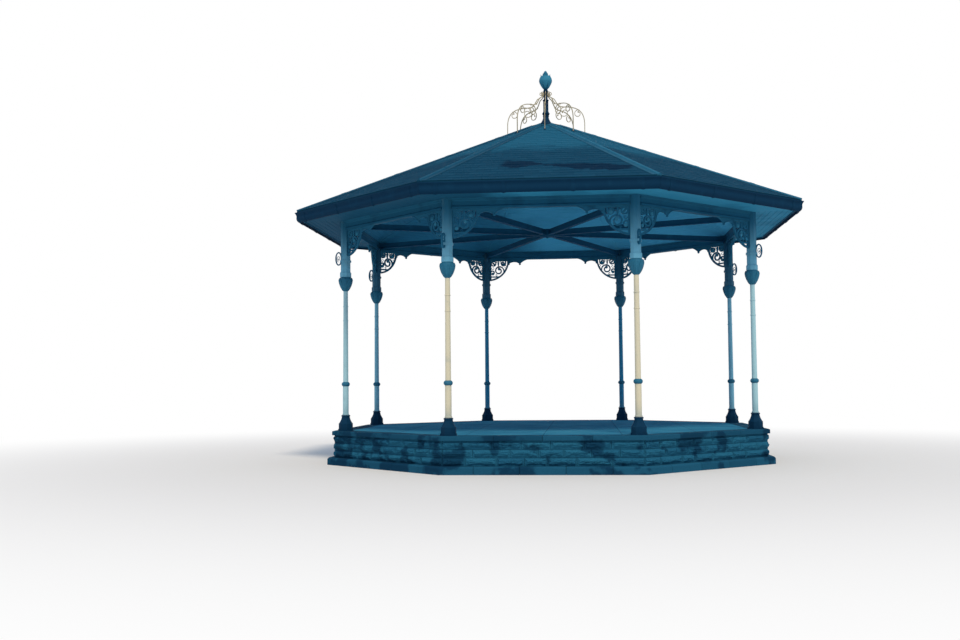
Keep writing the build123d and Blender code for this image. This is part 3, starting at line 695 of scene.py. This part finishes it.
def on_brackets(points, moved=True):
    """Copies of points drawn for a bracket along +X from the middle of a pier, turned to all sixteen."""
    copies = turned(points, bracket_turns)
    if moved:
        copies = copies + np.tile(column_feet, (2, 1)).reshape((-1,) + (1,) * (points.ndim - 1) + (3,))
    return copies.reshape((-1,) + points.shape[1:])


def block_rings(low, high):
    """The corners of a block as two rings of four points, one at each end along X."""
    square = np.array([(0, 0), (1, 0), (1, 1), (0, 1)])
    low, high = np.array(low, float), np.array(high, float)
    yz = low[1:] + square * (high - low)[1:]
    return np.stack([np.column_stack([np.full(4, x), yz]) for x in (low[0], high[0])])


def studs(places, outward, outline, count, flats_from=None):
    """Bolt heads, rivets or bosses: an outline of (radius, height) turned about a direction at each place.

    From ring number flats_from on, the radius is divided by the cosine of the angle from the nearest flat,
    which makes the circle a hexagon.
    """
    places = np.asarray(places, float)
    normal = unit(np.broadcast_to(np.asarray(outward, float), places.shape))
    helper = np.where(np.abs(normal[:, 2:]) < nearly_upright, [0.0, 0.0, 1.0], [1.0, 0.0, 0.0])
    side = unit(np.cross(normal, helper))
    other = np.cross(normal, side)
    radius, height = np.array(outline).T
    angle = np.arange(count) * 2 * math.pi / count
    hexagon = 1 / np.cos((angle + math.pi / 6) % (math.pi / 3) - math.pi / 6)
    flat = np.arange(len(radius)) >= (len(radius) if flats_from is None else flats_from)
    reach = radius[:, None] * np.where(flat[:, None], hexagon, 1.0)
    ring = np.cos(angle)[:, None] * side[:, None, None] + np.sin(angle)[:, None] * other[:, None, None]
    return places[:, None, None] + reach[..., None] * ring + height[:, None, None] * normal[:, None, None]


def bolts(places, outward):
    """Hexagon bolt heads on round washers."""
    return studs(places, outward, bolt_outline, count=12, flats_from=2)


def scroll_eye(start, heading, stem, radius, quarters, shrink=0.82):
    """Middle of a scroll's eye: a stem, then quarter circles to the left, or to the right below 0.

    A quarter of radius r moves on by r along the heading and r square to it, which is the next heading. Each
    radius is the one before times shrink.
    """
    heading = np.array(heading, float)
    place = np.array(start, float) + stem * heading
    for number in range(abs(quarters)):
        square_to = math.copysign(1, quarters) * np.array([-heading[1], heading[0]])
        place = place + radius * shrink ** number * (heading + square_to)
        heading = square_to
    return place


nearly_upright = 0.9
lintel_turn = 90 + 180 / sides
bracket_turns = np.concatenate([corner_turns + lintel_turn, corner_turns - lintel_turn])
lintel_low, lintel_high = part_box("lintel_1")
pier_half = 0.095
flange_thickness = 0.006
flange_half = 0.030
lintel_flange_length = 0.62
pier_flange_length = 0.53
bracket_paint = gloss_paint("bracket_paint", (36, 100, 130), (18, 62, 90))
dress_eight("brackets", bracket_paint)
flange_under = lintel_low.z - flange_thickness
lintel_flange = block_rings(
    (pier_half, -flange_half, flange_under), (pier_half + lintel_flange_length, flange_half, lintel_low.z)
)
pier_flange = block_rings(
    (pier_half, -flange_half, lintel_low.z - pier_flange_length),
    (pier_half + flange_thickness, flange_half, flange_under),
)
skin("bracket_flanges", on_brackets(np.stack([lintel_flange, pier_flange])), bracket_paint)

bracket_faces = (1, -1)
scroll_face = 0.015
rosette_outline = [
    (0.036, 0.0), (0.034, 0.004), (0.024, 0.005), (0.020, 0.002), (0.012, 0.008), (0.005, 0.011)
]
# Each scroll starts at a point along the lintel and below it, with a heading, a stem, a radius and quarters.
eyes = np.array([
    scroll_eye((0.021, -0.452), (1, 0), stem=0.205, radius=0.148, quarters=6),
    scroll_eye((0.418, -0.021), (0, -1), stem=0.074, radius=0.062, quarters=-5),
    scroll_eye((0.021, -0.345), (0, 1), stem=0.0, radius=0.052, quarters=-3),
])
rosettes = []
for sign in bracket_faces:
    middles = coords(pier_half + eyes[:, 0], sign * scroll_face, lintel_low.z + eyes[:, 1])
    facing = on_brackets(np.tile([0.0, sign, 0.0], (len(eyes), 1)), moved=False)
    rosettes.append(studs(on_brackets(middles), facing, rosette_outline, count=12))
rosette_paint = gloss_paint("rosette_paint", (52, 124, 154), (28, 80, 108))
skin("bracket_rosettes", np.concatenate(rosettes), rosette_paint, smooth=True)

bolt_outline = [(0.015, 0.0), (0.015, 0.003), (0.0095, 0.003), (0.0095, 0.010), (0.0080, 0.012)]
bolt_off_middle = 0.0215
lintel_bolts_along = (0.10, 0.32, 0.56)
pier_bolts_below = (0.13, 0.30, 0.47)
down_bolts = np.array([
    (pier_half + along, sign * bolt_off_middle, flange_under)
    for along in lintel_bolts_along for sign in bracket_faces
])
side_bolts = np.array([
    (pier_half + flange_thickness, sign * bolt_off_middle, lintel_low.z - drop)
    for drop in pier_bolts_below for sign in bracket_faces
])
from_pier = on_brackets(np.tile([1.0, 0.0, 0.0], (len(side_bolts), 1)), moved=False)
bracket_bolts = [bolts(on_brackets(down_bolts), (0, 0, -1)), bolts(on_brackets(side_bolts), from_pier)]
skin("bracket_bolts", np.concatenate(bracket_bolts), bracket_paint)

in_plane = (0.0, 1.0, 0.0)
curl_points = 30
curl_middle = (0.149, -0.610)
curl_stretch = 1.7
curl_turn = np.radians(np.linspace(-100, 390, curl_points))
curl_size = np.linspace(0.041, 0.009, curl_points)
curl = coords(
    column_radius + curl_middle[0] + curl_size * np.cos(curl_turn),
    0.0,
    lintel_low.z + curl_middle[1] + curl_stretch * curl_size * np.sin(curl_turn),
)
curl_bud = [0.0085, 0.0100, 0.0115, 0.0115, 0.0090, 0.0040]
curl_bar = np.concatenate([np.linspace(0.005, 0.0075, curl_points - len(curl_bud)), curl_bud])
loop_curls = turned(tube(curl[None], curl_bar, count=8, across=in_plane)[0], corner_turns)
skin("loop_curls", loop_curls, bracket_paint, smooth=True)

# Each tendril: its middle along the lintel and below it, its radius, and its start and sweep in degrees.
tendril_along, tendril_below, tendril_size, tendril_start, tendril_sweep = np.array([
    (0.415, -0.195, 0.042, 115, -340),
    (0.408, -0.260, 0.020, 90, -310),
    (0.277, -0.072, 0.026, 90, -330),
    (0.188, -0.062, 0.020, 90, 300),
    (0.085, -0.218, 0.042, 180, 330),
    (0.167, -0.402, 0.028, 270, 330),
]).T[..., None]
tendril_points = 20
tendril_shrink = 0.74
tendril_share = np.linspace(0, 1, tendril_points)
tendril_turn = np.radians(tendril_start + tendril_sweep * tendril_share)
tendril_radius = tendril_size * (1 - tendril_shrink * tendril_share)
tendrils = coords(
    pier_half + tendril_along + tendril_radius * np.cos(tendril_turn),
    0.0,
    lintel_low.z + tendril_below + tendril_radius * np.sin(tendril_turn),
)
tendril_bud = [0.0085, 0.0105, 0.0100, 0.0040]
tendril_bar = np.concatenate([np.linspace(0.0085, 0.0065, tendril_points - len(tendril_bud)), tendril_bud])
tendril_rings = on_brackets(tube(tendrils, tendril_bar, count=8, across=in_plane))
skin("bracket_tendrils", tendril_rings, bracket_paint, smooth=True)


# Lintels, tie beams and hub
# The lintels are moulded timber on the piers. The tie beams are riveted iron joists that meet at a cast hub
# with a bolted rose under it.

def painted_wood(name, colour, worn):
    """Oil paint on planed timber: grain showing faintly along it and clouded weathering."""
    paint, (body, dirt), close = finish_of(name, colour, worn)
    grain = noise(paint, size=0.03, detail=6.0)
    cloud = noise(paint, size=0.4, detail=4.0).step(low=0.5, high=0.7, above=0.5)
    gloss = grain.between(low=0.60, high=0.80)
    return close(paint.mix(cloud, body, dirt), grain, rise=0.0008, roughness=gloss, shine=0.03)


lintel_paint = painted_wood("lintel_paint", (30, 92, 122), (22, 70, 98))
tie_paint = gloss_paint("tie_paint", (20, 74, 106), (28, 90, 122), roughness=0.7)
dress_eight("lintel", lintel_paint)
dress("tie_beams", tie_paint)
dress("tie_hub", tie_paint)

ties_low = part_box("tie_beams")[0]
hub_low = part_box("tie_hub")[0]
rivet_outline = [(0.011, 0.0), (0.0095, 0.004), (0.004, 0.0065)]
rivet_spacing = 0.155
rivet_off_middle = 0.031
rivet_first, rivet_last = 0.27, column_radius - 0.16
rivet_rows = np.array([
    (out, sign * rivet_off_middle, ties_low.z)
    for out in np.arange(rivet_first, rivet_last, rivet_spacing) for sign in (1, -1)
])
rivets = studs(turned(rivet_rows, corner_turns).reshape(-1, 3), (0, 0, -1), rivet_outline, count=8)
skin("tie_rivets", rivets, tie_paint, smooth=True)

rose_outline = [
    (0.118, 0.0), (0.118, 0.006), (0.100, 0.011), (0.066, 0.012), (0.060, 0.020), (0.034, 0.021),
    (0.028, 0.034), (0.012, 0.042), (0.004, 0.043),
]
hub_bolt_circle = 0.142
hub_bolts = turned(np.array([hub_bolt_circle, 0.0, hub_low.z]), corner_turns)
rose = studs([(0.0, 0.0, hub_low.z)], (0, 0, -1), rose_outline, count=32)
skin("hub_rose", rose, tie_paint, smooth=True)
skin("hub_bolts", bolts(hub_bolts, (0, 0, -1)), tie_paint)


# Soffit and ceiling boards
# Narrow tongued and grooved boards with a V at each joint, nailed up under the eaves and under the rafters,
# and mitred on the lines of the hips. Beads cover their edges, and battens cover the mitres of the ceiling.

def board_profile(start, end):
    """Section across a run of boards from one point (out, z) to another, with a V groove at each joint.

    The lower line goes along the run and dips inwards by the groove's depth at each joint. The upper line
    comes straight back, so the section is closed.
    """
    start, end = np.array(start), np.array(end)
    length = np.linalg.norm(end - start)
    along = (end - start) / length
    inward = np.array([-along[1], along[0]])
    inward = inward * np.sign(inward[1])
    boards = int(length / board_width)
    joints = np.arange(1, boards) * length / boards
    dip = np.array([-groove_depth, 0, groove_depth])
    places = np.concatenate([[0], (joints[:, None] + dip).ravel(), [length]])
    rises = np.concatenate([[0], np.tile([0, groove_depth, 0], len(joints)), [0]])
    lower = start + places[:, None] * along + rises[:, None] * inward
    return np.concatenate([lower, [end + inward * board_thickness, start + inward * board_thickness]])


def mitred(profile):
    """A section of points (out, z) run along a side and cut on both hip planes, for all the sides."""
    out, z = profile.T
    half = out * half_side - mitre_gap
    ends = np.stack([coords(sign * half, -out, z) for sign in (-1, 1)])
    return all_round(ends[None])


def boarding(name, right, left, worn):
    """Painted boards, with painted shade that darkens them towards the left, clouded dirt and faint grain."""
    paint, (fair, dark, dirt), close = finish_of(name, right, left, worn)
    # Painted shade: the boards darken towards the left, along a wavering line.
    across = place_of(paint, "X") + noise(paint, size=1.4, detail=4.0) * left_shade_wander
    left_shade = across.step(low=-0.5, high=0.5, below=0.9, above=0.0)
    cloud = noise(paint, size=0.9, detail=4.0).step(low=0.50, high=0.66, above=0.5)
    grain = noise(paint, size=0.02, detail=5.0)
    colour = paint.mix(left_shade, paint.mix(cloud, fair, dirt), dark)
    gloss = grain.between(low=0.65, high=0.85)
    return close(colour, grain, rise=0.0008, roughness=gloss, shine=0.03)


left_shade_wander = 1.6
board_width = 0.105
groove_depth = 0.006
mitre_gap = 0.0003
soffit_inner = 4.267
ceiling_inner = 0.115
ceiling_in = 0.02
soffit_low, soffit_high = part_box("soffit")
ceiling_low, ceiling_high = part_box("ceiling")
board_thickness = soffit_high.z - soffit_low.z
ceiling_top = ceiling_high.z - board_thickness
ceiling_outer = ceiling_high.y - ceiling_in
soffit_paint = boarding("soffit_paint", (52, 140, 177), (24, 78, 108), (38, 112, 146))
ceiling_paint = boarding("ceiling_paint", (76, 172, 214), (36, 110, 146), (62, 150, 192))
soffit_rings = mitred(board_profile((soffit_inner, soffit_low.z), (soffit_high.y, soffit_low.z)))
ceiling_rings = mitred(board_profile((ceiling_outer, ceiling_low.z), (ceiling_inner, ceiling_top)))
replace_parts(skin("soffit_boards", soffit_rings, soffit_paint), "soffit")
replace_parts(skin("ceiling_boards", ceiling_rings, ceiling_paint), "ceiling")
dress("king_block", lintel_paint)
dress("hip_rafters", painted_wood("bare_timber", (150, 128, 98), (110, 92, 70)))

bead_size = 0.024
lintel_half = 0.070
column_apothem = column_radius * math.cos(math.pi / sides)
bead_edges = (
    (column_apothem + lintel_half, 1),
    (soffit_high.y, -1),
    (column_apothem - lintel_half, -1),
)
for number, (out, way) in enumerate(bead_edges, start=1):
    curve = rounded((0.0, 0.0), bead_size, -90, 0, count=5)
    bead = np.concatenate([[(0.0, 0.0)], curve * (way, 1)]) + (out, lintel_high.z)
    skin(f"board_bead_{number}", mitred(bead), lintel_paint)

batten_half = 0.028
batten_drop = 0.014
batten_ends = np.array([0.24, column_radius - 0.12])
batten_z = np.interp(
    batten_ends * math.cos(math.pi / sides), [ceiling_inner, ceiling_outer], [ceiling_top, ceiling_low.z]
)
batten_corners = ((-1, 0), (-1, -batten_drop), (1, -batten_drop), (1, 0))
batten = np.stack([
    [(out, sign * batten_half, z + lift) for sign, lift in batten_corners]
    for out, z in zip(batten_ends, batten_z)
])
skin("ceiling_battens", turned(batten, corner_turns), ceiling_paint)


# Fascia and gutter
# A painted fascia board round the eaves carries a cast-iron ogee gutter in lengths, with a raised socket at
# each joint and a bolt through the bottom of it. The gutter is painted navy.

def gutter_point(share, height_share):
    """A point of the gutter's section from shares of its width and depth."""
    return np.array([fascia_face + gutter_width * share, gutter_low.z + gutter_depth * height_share])


gutter_low, gutter_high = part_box("gutter")
fascia_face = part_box("fascia")[1].y
gutter_width = gutter_high.y - fascia_face
gutter_depth = gutter_high.z - gutter_low.z
gutter_hook = 0.016
flat_start = 0.04
flat_bolt = 0.14
gutter_paint = gloss_paint("gutter_paint", (13, 50, 76), (19, 60, 86), roughness=0.7)
dress("fascia", painted_wood("fascia_paint", (14, 50, 76), (20, 60, 86)))
dress("gutter", gutter_paint)

# The ogee goes by shares of width and depth from the flat bottom's edge by belly, waist and flare to the lip.
ogee = [gutter_point(*share) for share in ((0.25, 0), (0.61, 0.20), (0.70, 0.50), (0.77, 0.76))]
gutter_lip = (gutter_high.y, gutter_high.z - gutter_hook)
gutter_face = np.concatenate([[gutter_point(flat_start, 0)], two_arcs(ogee + [gutter_lip], counts=(9, 7))])
socket_proud = 0.007
socket_bedded = 0.003
socket_taper = 0.020
socket_length = 0.070
socket_places = np.array([-1.85, -0.62, 0.62, 1.85])
face_along = np.gradient(gutter_face, axis=0)
face_outward = unit(coords(face_along[:, 1], -face_along[:, 0]))
socket_fade = np.clip((gutter_high.y - gutter_face[:, 0]) / socket_taper, 0, 1)[:, None]
socket_section = np.concatenate([
    gutter_face + face_outward * socket_proud * socket_fade,
    gutter_face[::-1] - face_outward[::-1] * socket_bedded,
])
socket_rings = np.stack([
    coords(place + end, -socket_section[:, 0], socket_section[:, 1])
    for place in socket_places for end in (-socket_length / 2, socket_length / 2)
]).reshape(len(socket_places), 2, -1, 3)
socket_bolts = np.array([(place, -gutter_point(flat_bolt, 0)[0], gutter_low.z) for place in socket_places])
gutter_bolts = bolts(all_round(socket_bolts[:, None]).reshape(-1, 3), (0, 0, -1))
skin("gutter_sockets", all_round(socket_rings), gutter_paint)
skin("gutter_bolts", gutter_bolts, gutter_paint)


# Roof slates
# Quarried slates in courses with broken joints, nailed to boarding. Each slate is cut on the hips, lies on
# the one below and varies a little in tone. They are paler towards the top.

def slates_of_a_side(seed):
    """Boxes for all the slates of one side.

    Each course covers the slope between two distances out from the middle. A slate runs between two cuts
    across, clipped at both ends to the half-width of the side. Its lower edge is lifted so that it lies on
    the course below, and its upper face wobbles. Slates with no width left are dropped.
    """
    draw = np.random.default_rng(seed)
    exposed = (roof_edge - cap_edge) / slate_rows
    courses = []
    for row in range(slate_rows):
        lower = roof_edge - row * exposed
        upper = lower - exposed - slate_lap
        count = int(lower * half_side / slate_width) + 2
        cuts = (np.arange(-count, count + 1) + (row % 2) / 2) * slate_width
        starts, ends = cuts[:-1] + slate_joint / 2, cuts[1:] - slate_joint / 2
        wobble = draw.uniform(-slate_wobble, slate_wobble, len(starts))
        rings = []
        for distance, rise in ((lower, slate_lift), (upper, slate_lift * slate_tail)):
            half = distance * half_side - hip_clear
            left, right = np.clip(starts, -half, half), np.clip(ends, -half, half)
            drop = roof_top - distance * roof_slope
            corners = [
                coords(across, -distance, drop + rise + level * (slate_thickness + wobble))
                for across, level in ((left, 0), (right, 0), (right, 1), (left, 1))
            ]
            rings.append(np.stack(corners, axis=1))
            if distance == lower:
                keep = right - left > slate_joint
        courses.append(np.stack(rings, axis=1)[keep])
    return np.concatenate(courses)


def slate_finish(name, deep, body, pale, stain):
    """Riven slate: a tone for each slate, paler above a wavering line, with one dark damp streak.

    The streak follows a line on the front slope: along and across are the coordinates turned to that line.
    """
    paint, (deep, body, pale, stain), close = finish_of(name, deep, body, pale, stain)
    tone = tone_of(paint)
    riven = noise(paint, size=0.015, detail=6.0)
    wander = noise(paint, size=0.8, detail=5.0) * pale_line_wander
    height = place_of(paint, "Z") + wander + tone * pale_line_by_slate
    colour = paint.mix(tone * tone_strength, body, deep)
    colour = paint.mix(height.step(low=6.52, high=6.90, above=0.85), colour, pale)
    x = place_of(paint, "X") - streak_start[0]
    y = place_of(paint, "Y") - streak_start[1]
    along = x * streak_heading[0] + y * streak_heading[1]
    ragged = noise(paint, size=0.5, detail=5.0) * streak_rag
    off_line = abs(y * streak_heading[0] - x * streak_heading[1]) + ragged
    length = along.step(low=0.0, high=0.15) * along.step(low=2.45, high=2.6, below=0.95, above=0.0)
    streak = length * (1 - off_line.step(low=0.60, high=0.68))
    gloss = riven.between(low=0.65, high=0.95)
    return close(paint.mix(streak, colour, stain), riven, rise=0.002, roughness=gloss, shine=0.01)


tone_strength = 0.6
pale_line_wander = 0.5
pale_line_by_slate = 0.14
streak_start = (-0.78, -3.98)
streak_heading = (0.978, -0.208)
streak_rag = 0.9
slate = slate_finish("slate", deep=(16, 58, 82), body=(22, 68, 93), pale=(34, 95, 122), stain=(8, 38, 62))

slate_rows = 27
slate_width = 0.255
slate_lap = 0.06
slate_joint = 0.004
slate_thickness = 0.006
slate_lift = 0.010
slate_tail = 0.25
slate_wobble = 0.0015
hip_clear = 0.012
slopes_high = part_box("roof_slopes")[1]
cap_low, cap_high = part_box("apex_cap")
roof_pitch = 23.66
slopes_end = 0.004
cap_overlap = 0.02
roof_slope = math.tan(math.radians(roof_pitch))
roof_edge = slopes_high.y
roof_top = slopes_high.z + slopes_end * roof_slope
cap_edge = cap_high.y - cap_overlap
all_slates = all_round(slates_of_a_side(seed=5))
slate_tones = np.random.default_rng(seed=9).uniform(0, 1, len(all_slates))
skin("slates", all_slates, slate, slate_tones)
dress("roof_slopes", slate)


# Hip rolls and apex cap
# Lead dressed over wooden rolls on the hips, in lengths that lap, with wings over the slates on both sides.
# A lead cap with a rolled edge covers the top. The rolls are a paler lead than the wings, a painted
# highlight.

def lead_finish(name, colour, worn, bright):
    """Old lead: dull and chalky, with painted shade on the left side, dirt in clouds and scuffed spots."""
    paint, (body, dirt, chalk), close = finish_of(name, colour, worn, bright)
    cloud = noise(paint, size=0.30, detail=6.0)
    fine = noise(paint, size=0.02, detail=4.0)
    # Painted shade: the lead darkens towards the left.
    left_side_shade = place_of(paint, "X").step(low=-0.6, high=0.6, below=0.9, above=0.0)
    colour = paint.mix(paint.maths("MAXIMUM", cloud * lead_dirt, left_side_shade), body, dirt)
    scuffed = paint.mix(fine.step(low=0.56, high=0.72, above=0.3), colour, chalk)
    gloss = cloud.between(low=0.55, high=0.85)
    return close(scuffed, fine, rise=0.0008, roughness=gloss, shine=0.03)


lead_dirt = 0.5
# Painted highlight: the lead of the rolls is paler than the same lead on the wings.
lead = lead_finish("lead", (42, 108, 136), (24, 74, 100), (54, 122, 150))
wing_lead = lead_finish("wing_lead", (34, 92, 119), (21, 67, 92), (44, 106, 133))
cap_lead = lead_finish("cap_lead", (16, 56, 82), (12, 46, 70), (24, 68, 94))
dress("hip_rolls", lead)
dress("apex_cap", cap_lead)

wing_width = 0.125
wing_inner = 0.015
wing_thickness = 0.003
wing_low, wing_lift = 0.010, 0.0215
wing_wander = 0.006
wing_wander_size = 0.35
wing_start, wing_stop = cap_edge + 0.01, roof_edge - 0.006
wing_outs = np.linspace(wing_start, wing_stop, num=40)


def wing_rings(sign):
    """Sheet on one slope beside a hip: its outer edge wanders a little, and it lies close over the slates."""
    inner = wing_outs * half_side - wing_inner
    wander = wing_wander * coarse_noise(coords(wing_outs, 0.0, sign), wing_wander_size, seed=21)
    outer = np.maximum(wing_outs * half_side - wing_width - wander, 0.0)
    z = roof_top - wing_outs * roof_slope
    corners = ((inner, wing_low), (outer, wing_lift - wing_thickness), (outer, wing_lift), (inner, wing_lift))
    return np.stack([coords(sign * across, -wing_outs, z + lift) for across, lift in corners], axis=1)


wings = all_round(np.stack([wing_rings(1), wing_rings(-1)]))
skin("hip_wings", wings, wing_lead)

hip_slope = roof_slope * math.cos(math.pi / sides)
roll_radius = 0.042
lap_proud = 0.005
lap_half = 0.045
lap_outs = np.array([1.15, 2.30, 3.45, 4.60])
lap_lines = np.array([
    [(out + end, 0.0, roof_top - hip_slope * (out + end)) for end in (-lap_half, 0.0, lap_half)]
    for out in lap_outs
])
laps = tube(turned(lap_lines, corner_turns).reshape(-1, 3, 3), roll_radius + lap_proud, count=16)
skin("hip_laps", laps, lead)

edge_roll_radius = 0.012
edge_roll_middle = (cap_high.y + 0.002, cap_low.z + 0.024)
skin("cap_roll", mitred(rounded(edge_roll_middle, edge_roll_radius, 0, 330, count=12)), cap_lead)


# Finial
# A cast and turned iron post painted navy, with knops and a concave foot that spreads over the lead cap. It
# carries a closed bud wrapped in two rows of ribbed pointed leaves.

def lathe(outline, count):
    """Rings of a turned piece: each point (radius, height above the apex) goes once round the axis."""
    radius, height = np.array(outline).T[..., None]
    cosines, sines = circle(count)
    return coords(radius * cosines, radius * sines, roof_top + height)[None]


def knop(middle, proud, post):
    """Outline of a turned knop: a fillet, a half-round that swells from the post, and a fillet."""
    bulge = rounded((post, middle), proud - post, -80, 80, count=9)
    edge = (proud - post) * fillet_share
    top = edge + fillet_height
    fillet = [(post, top + fillet_ease), (post + fillet_proud, top), (post + fillet_proud, edge)]
    below = [(out, middle - up) for out, up in fillet]
    above = [(out, middle + up) for out, up in fillet[::-1]]
    return np.concatenate([below, bulge, above])


fillet_share = 1.25
fillet_height = 0.010
fillet_ease = 0.002
fillet_proud = 0.008
post_half, rod_half = 0.058, 0.043
foot_reach = 0.235
foot_drop = foot_reach * roof_slope - 0.020
post_outline = np.concatenate([
    arc_through((foot_reach, -foot_drop), (0.098, 0.012), (post_half + 0.004, 0.125), count=14),
    [(post_half + 0.012, 0.128), (post_half + 0.012, 0.142), (post_half, 0.146)],
    knop(middle=0.190, proud=0.084, post=post_half),
    [(post_half, 0.484), (post_half + 0.010, 0.490), (post_half + 0.010, 0.504), (rod_half, 0.520)],
    knop(middle=0.705, proud=0.056, post=rod_half),
    [(rod_half, 0.762)],
])
finial_paint = gloss_paint("finial_paint", (14, 50, 76), (12, 42, 66))
turned_post = skin("turned_post", lathe(post_outline, count=40), finial_paint, smooth=True)
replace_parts(turned_post, "finial_post")

bud_points = [(0.038, 0.750), (0.09936, 0.83325), (0.138, 0.935), (0.12834, 0.9975), (0.092, 1.060)]
bud = two_arcs(bud_points, counts=(12, 8))
bud_leaves = 6
bud_turns = -90 + np.arange(bud_leaves) * 360 / bud_leaves
leaf_rows, leaf_columns = 26, 11
leaf_thickness = 0.006
leaf_clear = 0.003
leaf_rib = 0.006
leaf_rib_width = 0.16
leaf_edge_lift = 0.003
leaf_roll_start = 0.80
leaf_tip = 0.004
leaf_rise, leaf_blunt = 0.7, 0.6


def leaf_rings(low, high, half_turn, flare):
    """Rings of one leaf that hugs the bud about +X and rolls outwards at its tip.

    At share v of its height the leaf reaches half_turn * sin(pi * v ** leaf_rise) ** leaf_blunt to each side,
    and over the last fifth of the height its radius grows by flare times a square. Across, the radius has a
    raised rib in the middle and lifted edges. The back of the leaf is the front moved in by its thickness.
    """
    share = np.linspace(0, 1, leaf_rows)
    across = np.linspace(-1, 1, leaf_columns)
    height = low + (high - low) * share
    reach = half_turn * np.maximum(np.sin(math.pi * share ** leaf_rise), leaf_tip) ** leaf_blunt
    roll = np.clip((share - leaf_roll_start) / (1 - leaf_roll_start), 0, 1)
    radius = np.interp(height, bud[:, 1], bud[:, 0]) + leaf_clear + flare * roll ** 2
    height = height - flare / 2 * roll ** 3
    rib = leaf_rib * np.exp(-(across / leaf_rib_width) ** 2)
    front = radius[:, None] + rib + leaf_edge_lift * across ** 4
    angle = reach[:, None] * across
    return np.concatenate([
        coords(level * np.cos(turn), level * np.sin(turn), roof_top + height[:, None])
        for level, turn in ((front, angle), ((front - leaf_thickness)[:, ::-1], angle[:, ::-1]))
    ], axis=1)


dress("finial_bud", gloss_paint("bud_paint", (44, 110, 138), (30, 86, 112), roughness=0.55))
# Painted highlight: the leaves are a paler blue than the bud.
leaf_highlight_paint = gloss_paint("leaf_highlight", (62, 136, 163), (42, 108, 136), roughness=0.55)
outer_leaf = leaf_rings(low=0.765, high=1.075, half_turn=0.46, flare=0.026)
inner_leaf = leaf_rings(low=0.860, high=1.100, half_turn=0.30, flare=0.012)
skin("bud_outer_leaves", turned(outer_leaf, bud_turns), leaf_highlight_paint, smooth=True)
inner_leaves = turned(inner_leaf, bud_turns + 180 / bud_leaves)
skin("bud_inner_leaves", inner_leaves, leaf_highlight_paint, smooth=True)


# Ring of scrolls
# Eight thin wrought-iron bars stand on the slopes round the finial, each bent over to the rod with curls
# forged on it, collared where they join and footed on small bolted plates. Their pale tan is painted light,
# the glare of bright sky round the thin bars.

# Painted light: the pale tan stands for the bright sky round the thin dark bars.
scroll_glare_paint = gloss_paint("scroll_glare_paint", (182, 172, 144), (140, 136, 118), roughness=0.55)
dress("finial_scrolls", scroll_glare_paint)
scroll_turns = side_turns - 90
rib_foot = 0.870
foot_z = roof_top - roof_slope * rib_foot
collar_half = (0.012, 0.0115, 0.017)
collar_places = ((0.742, 0.628), (0.455, 0.714), (0.285, 0.757))
collars = np.stack([
    block_rings(
        (out - collar_half[0], -collar_half[1], foot_z + up - collar_half[2]),
        (out + collar_half[0], collar_half[1], foot_z + up + collar_half[2]),
    )
    for out, up in collar_places
])
scroll_collars = turned(collars, scroll_turns).reshape((-1,) + collars.shape[1:])
skin("scroll_collars", scroll_collars, scroll_glare_paint)

plate_half = (0.034, 0.026)
plate_under, plate_top = 0.010, 0.023
plate_bolt_out = 0.022


def on_slope(out, across, lift):
    """A point at a distance out from a bar's foot, across it, and above the slope."""
    return rib_foot + out, across, foot_z - out * roof_slope + lift


plate_corners = ((-1, plate_under), (1, plate_under), (1, plate_top), (-1, plate_top))
plate_rings = np.array([
    [on_slope(end * plate_half[0], across * plate_half[1], lift) for across, lift in plate_corners]
    for end in (-1, 1)
])
bolt_places = np.array([on_slope(end * plate_bolt_out, 0.0, plate_top) for end in (-1, 1)])
plate_bolts = turned(bolt_places, scroll_turns)
plate_up = np.repeat(turned(np.array([roof_slope, 0.0, 1.0]), scroll_turns), 2, axis=0)
skin("scroll_plates", turned(plate_rings, scroll_turns), finial_paint)
skin("scroll_bolts", bolts(plate_bolts.reshape(-1, 3), plate_up), finial_paint)
